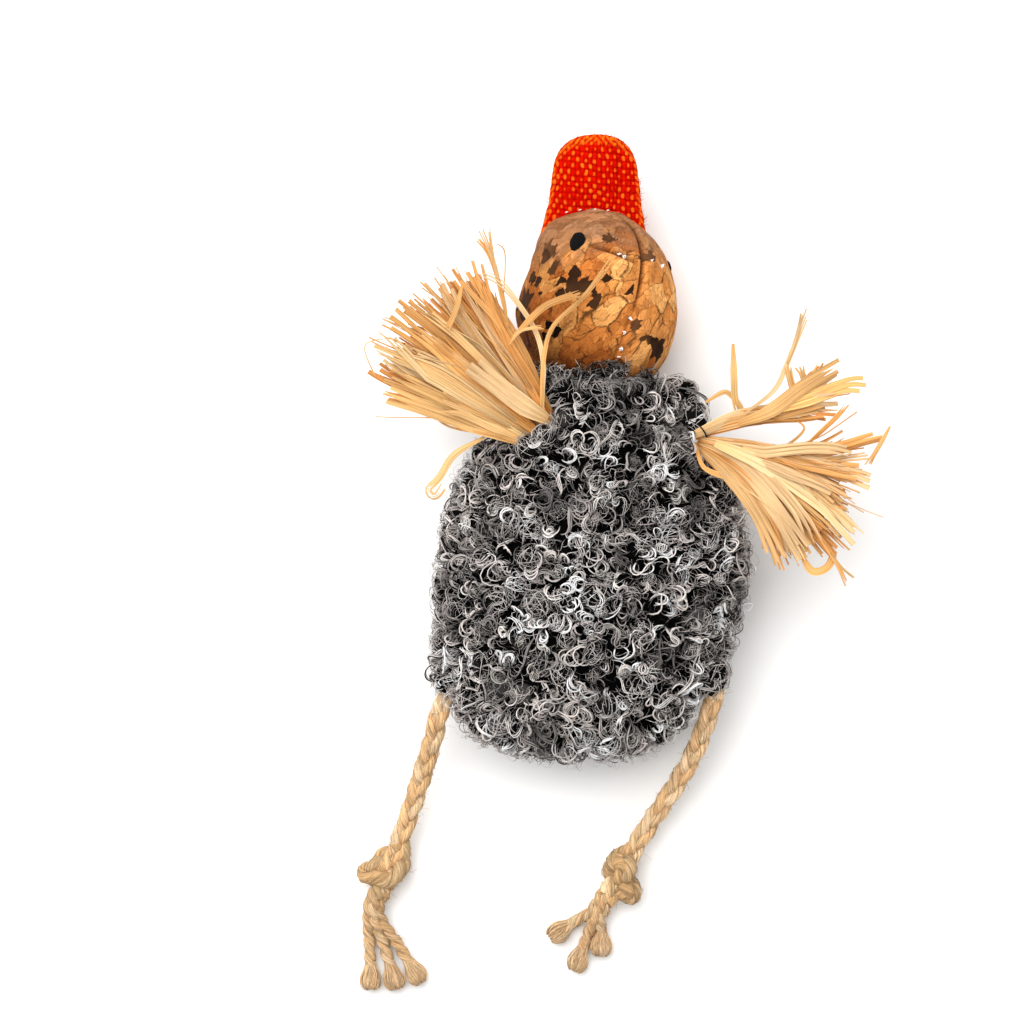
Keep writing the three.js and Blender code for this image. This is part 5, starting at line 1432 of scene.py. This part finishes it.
def strips_part(lines, widths, sunk, draw):
    """Raffia strips along lines: three ribbons each, arched across the strip and parting towards its end,
    with painted shade by their sunk shares and towards the root.
    """
    count, points = lines.shape[:2]
    u = np.linspace(0, 1, points)
    tangents = unit(np.gradient(lines, axis=1))
    level = unit(np.cross([0, 0, 1], tangents))
    upright = np.cross(tangents, level)
    roll = draw.normal(0, 0.35, (count, 1)) + draw.normal(0, 0.5, (count, 1)) * u
    arch = draw.uniform(-0.15, 0.45, (count, 1))
    narrowed = widths[:, None] * np.minimum(0.4 + 1.8 * u, 1) / 3
    parted = 1 + draw.uniform(0, 1.2, (count, 1)) * np.maximum(u - STRIP_PARTS, 0) / (1 - STRIP_PARTS)
    tones = tones_near(RAFFIA_TONES, count, 0.08, draw)
    # Painted shade: darker towards the gathered root, and on low strips, less so towards their ends
    shade = ROOT_SHADE + np.minimum(u / ROOT_FADE, 1)[:, None] * (1 - ROOT_SHADE)
    covered = sunk[:, None] * (1 - 0.7 * np.clip((u - 0.35) / 0.5, 0, 1))
    shade = shade * (1 - covered[..., None] * SUNK_SHADE)
    parts = []
    for place in (-1, 0, 1):
        turned = (roll - place * arch)[..., None]
        side = np.cos(turned) * level + np.sin(turned) * upright
        middle = lines + place * (narrowed * parted)[..., None] * side
        middle = cut_lines(middle, draw.uniform(0.9, 1, count))
        own = tones * draw.uniform(0.92, 1.04, (count, 1))
        fray = np.where(draw.uniform(size=(count, 1)) < 0.3, 0.85, 0.15)
        frayed = 1.04 * narrowed * (1 - fray * np.maximum(u - STRIP_FRAYS, 0) / (1 - STRIP_FRAYS))
        folds = draw.uniform(-0.75, 0.5, count)
        parts.append(ribbon_part(middle, frayed, side, np.cross(tangents, side), folds, own[:, None] * shade))
    return parts


def fan_lines(fan, count, draw):
    """Lines spread between a fan's guide lines, each with its own length, sway and height."""
    flat = [[(x, y, 0) for x, y in guide] for guide in fan["guides"]]
    guides = np.stack([smooth_line(guide, STRIP_POINTS) for guide in flat]) * MM
    place = (np.arange(count) + draw.uniform(0, 1, count)) * (len(guides) - 1) / count
    low = np.minimum(place.astype(int), len(guides) - 2)
    part = (place - low)[:, None, None]
    lines = cut_lines((1 - part) * guides[low] + part * guides[low + 1], draw.uniform(0.8, 1.0, count))
    u = np.linspace(0, 1, STRIP_POINTS)
    each = (count, 1)
    sway = draw.normal(0, STRIP_SWAY, each) * u
    waves = draw.uniform(0.4, 1.1, each) * u
    sway = sway * np.sin(2 * np.pi * (waves + draw.uniform(0, 1, each)))
    kink = np.maximum(u - draw.uniform(0.35, 0.75, each), 0) * draw.normal(0, STRIP_KINK, each)
    sway = sway + np.where(draw.uniform(size=each) < KINKED_SHARE, kink, 0)
    tangents = unit(np.gradient(lines, axis=1))
    lines = lines + sway[..., None] * np.cross([0, 0, 1], tangents)
    top = draw.uniform(fan["low"], fan["high"], each) * MM
    lines[..., 2] = fan["root"] * MM + (top - fan["root"] * MM) * (1 - (1 - u)**2.5)
    return lines


def laid_lines_of(strips):
    """The lines and widths of the strips laid one by one."""
    lines = []
    for _, start, end, points in strips:
        heights = np.linspace(start, end, len(points))
        lines.append(smooth_line([(x, y, z) for (x, y), z in zip(points, heights)], STRIP_POINTS) * MM)
    return np.stack(lines), np.array([width for width, *_ in strips]) * MM


def raffia_material():
    """Raffia lets light through: some of its shading is light from its far side."""
    material = strand_material("raffia", fineness=5200, stretch=60, shade=0.5, depth=0.08 * MM, Roughness=0.5,
                               Specular_IOR_Level=0.2)
    tree = material.node_tree
    principled = tree.nodes["Principled BSDF"]
    colour = principled.inputs["Base Color"].links[0].from_socket
    through = place_node(tree, "ShaderNodeBsdfTranslucent", {"Color": colour})
    shaders = {0: RAFFIA_SEEN_THROUGH, 1: principled.outputs[0], 2: through.outputs[0]}
    mixed = place_node(tree, "ShaderNodeMixShader", shaders)
    tree.links.new(mixed.outputs[0], tree.nodes["Material Output"].inputs["Surface"])
    return material


raffia = raffia_material()
for name, seed in (("left", 51), ("right", 53)):
    draw = np.random.default_rng(seed)
    parts = []
    for fan in [fan for fan in FANS if fan["wing"] == name]:
        lines = fan_lines(fan, fan["strips"], draw)
        sunk = (fan["high"] * MM - lines[:, -1, 2]) / ((fan["high"] - fan["low"]) * MM)
        widths = draw.uniform(STRIP_NARROWEST, STRIP_WIDEST, len(lines))
        parts += strips_part(lines, widths, sunk, draw)
        threads = fan_lines(fan, fan["threads"], draw)
        thin = draw.uniform(SPLIT_THINNEST, SPLIT_THICKEST, (len(threads), 1))
        parts.append(strand_part(threads, thin, 4, tones_near(RAFFIA_TONES, len(threads), 0.1, draw)))
    laid, widths = laid_lines_of(LAID_STRIPS[name])
    # The laid strips lie on top and get sunk shares mostly below zero, which paints them lighter: painted
    # light
    parts += strips_part(laid, widths, draw.uniform(-0.55, 0.05, len(laid)), draw)
    wing_strips = add_mesh_piece(f"{name}_wing_strips", parts, raffia)
    wing_strips.data.set_sharp_from_angle(angle=RAFFIA_SHARP)
    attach(wing_strips, f"{name}_wing")
    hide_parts(f"{name}_wing_raffia")
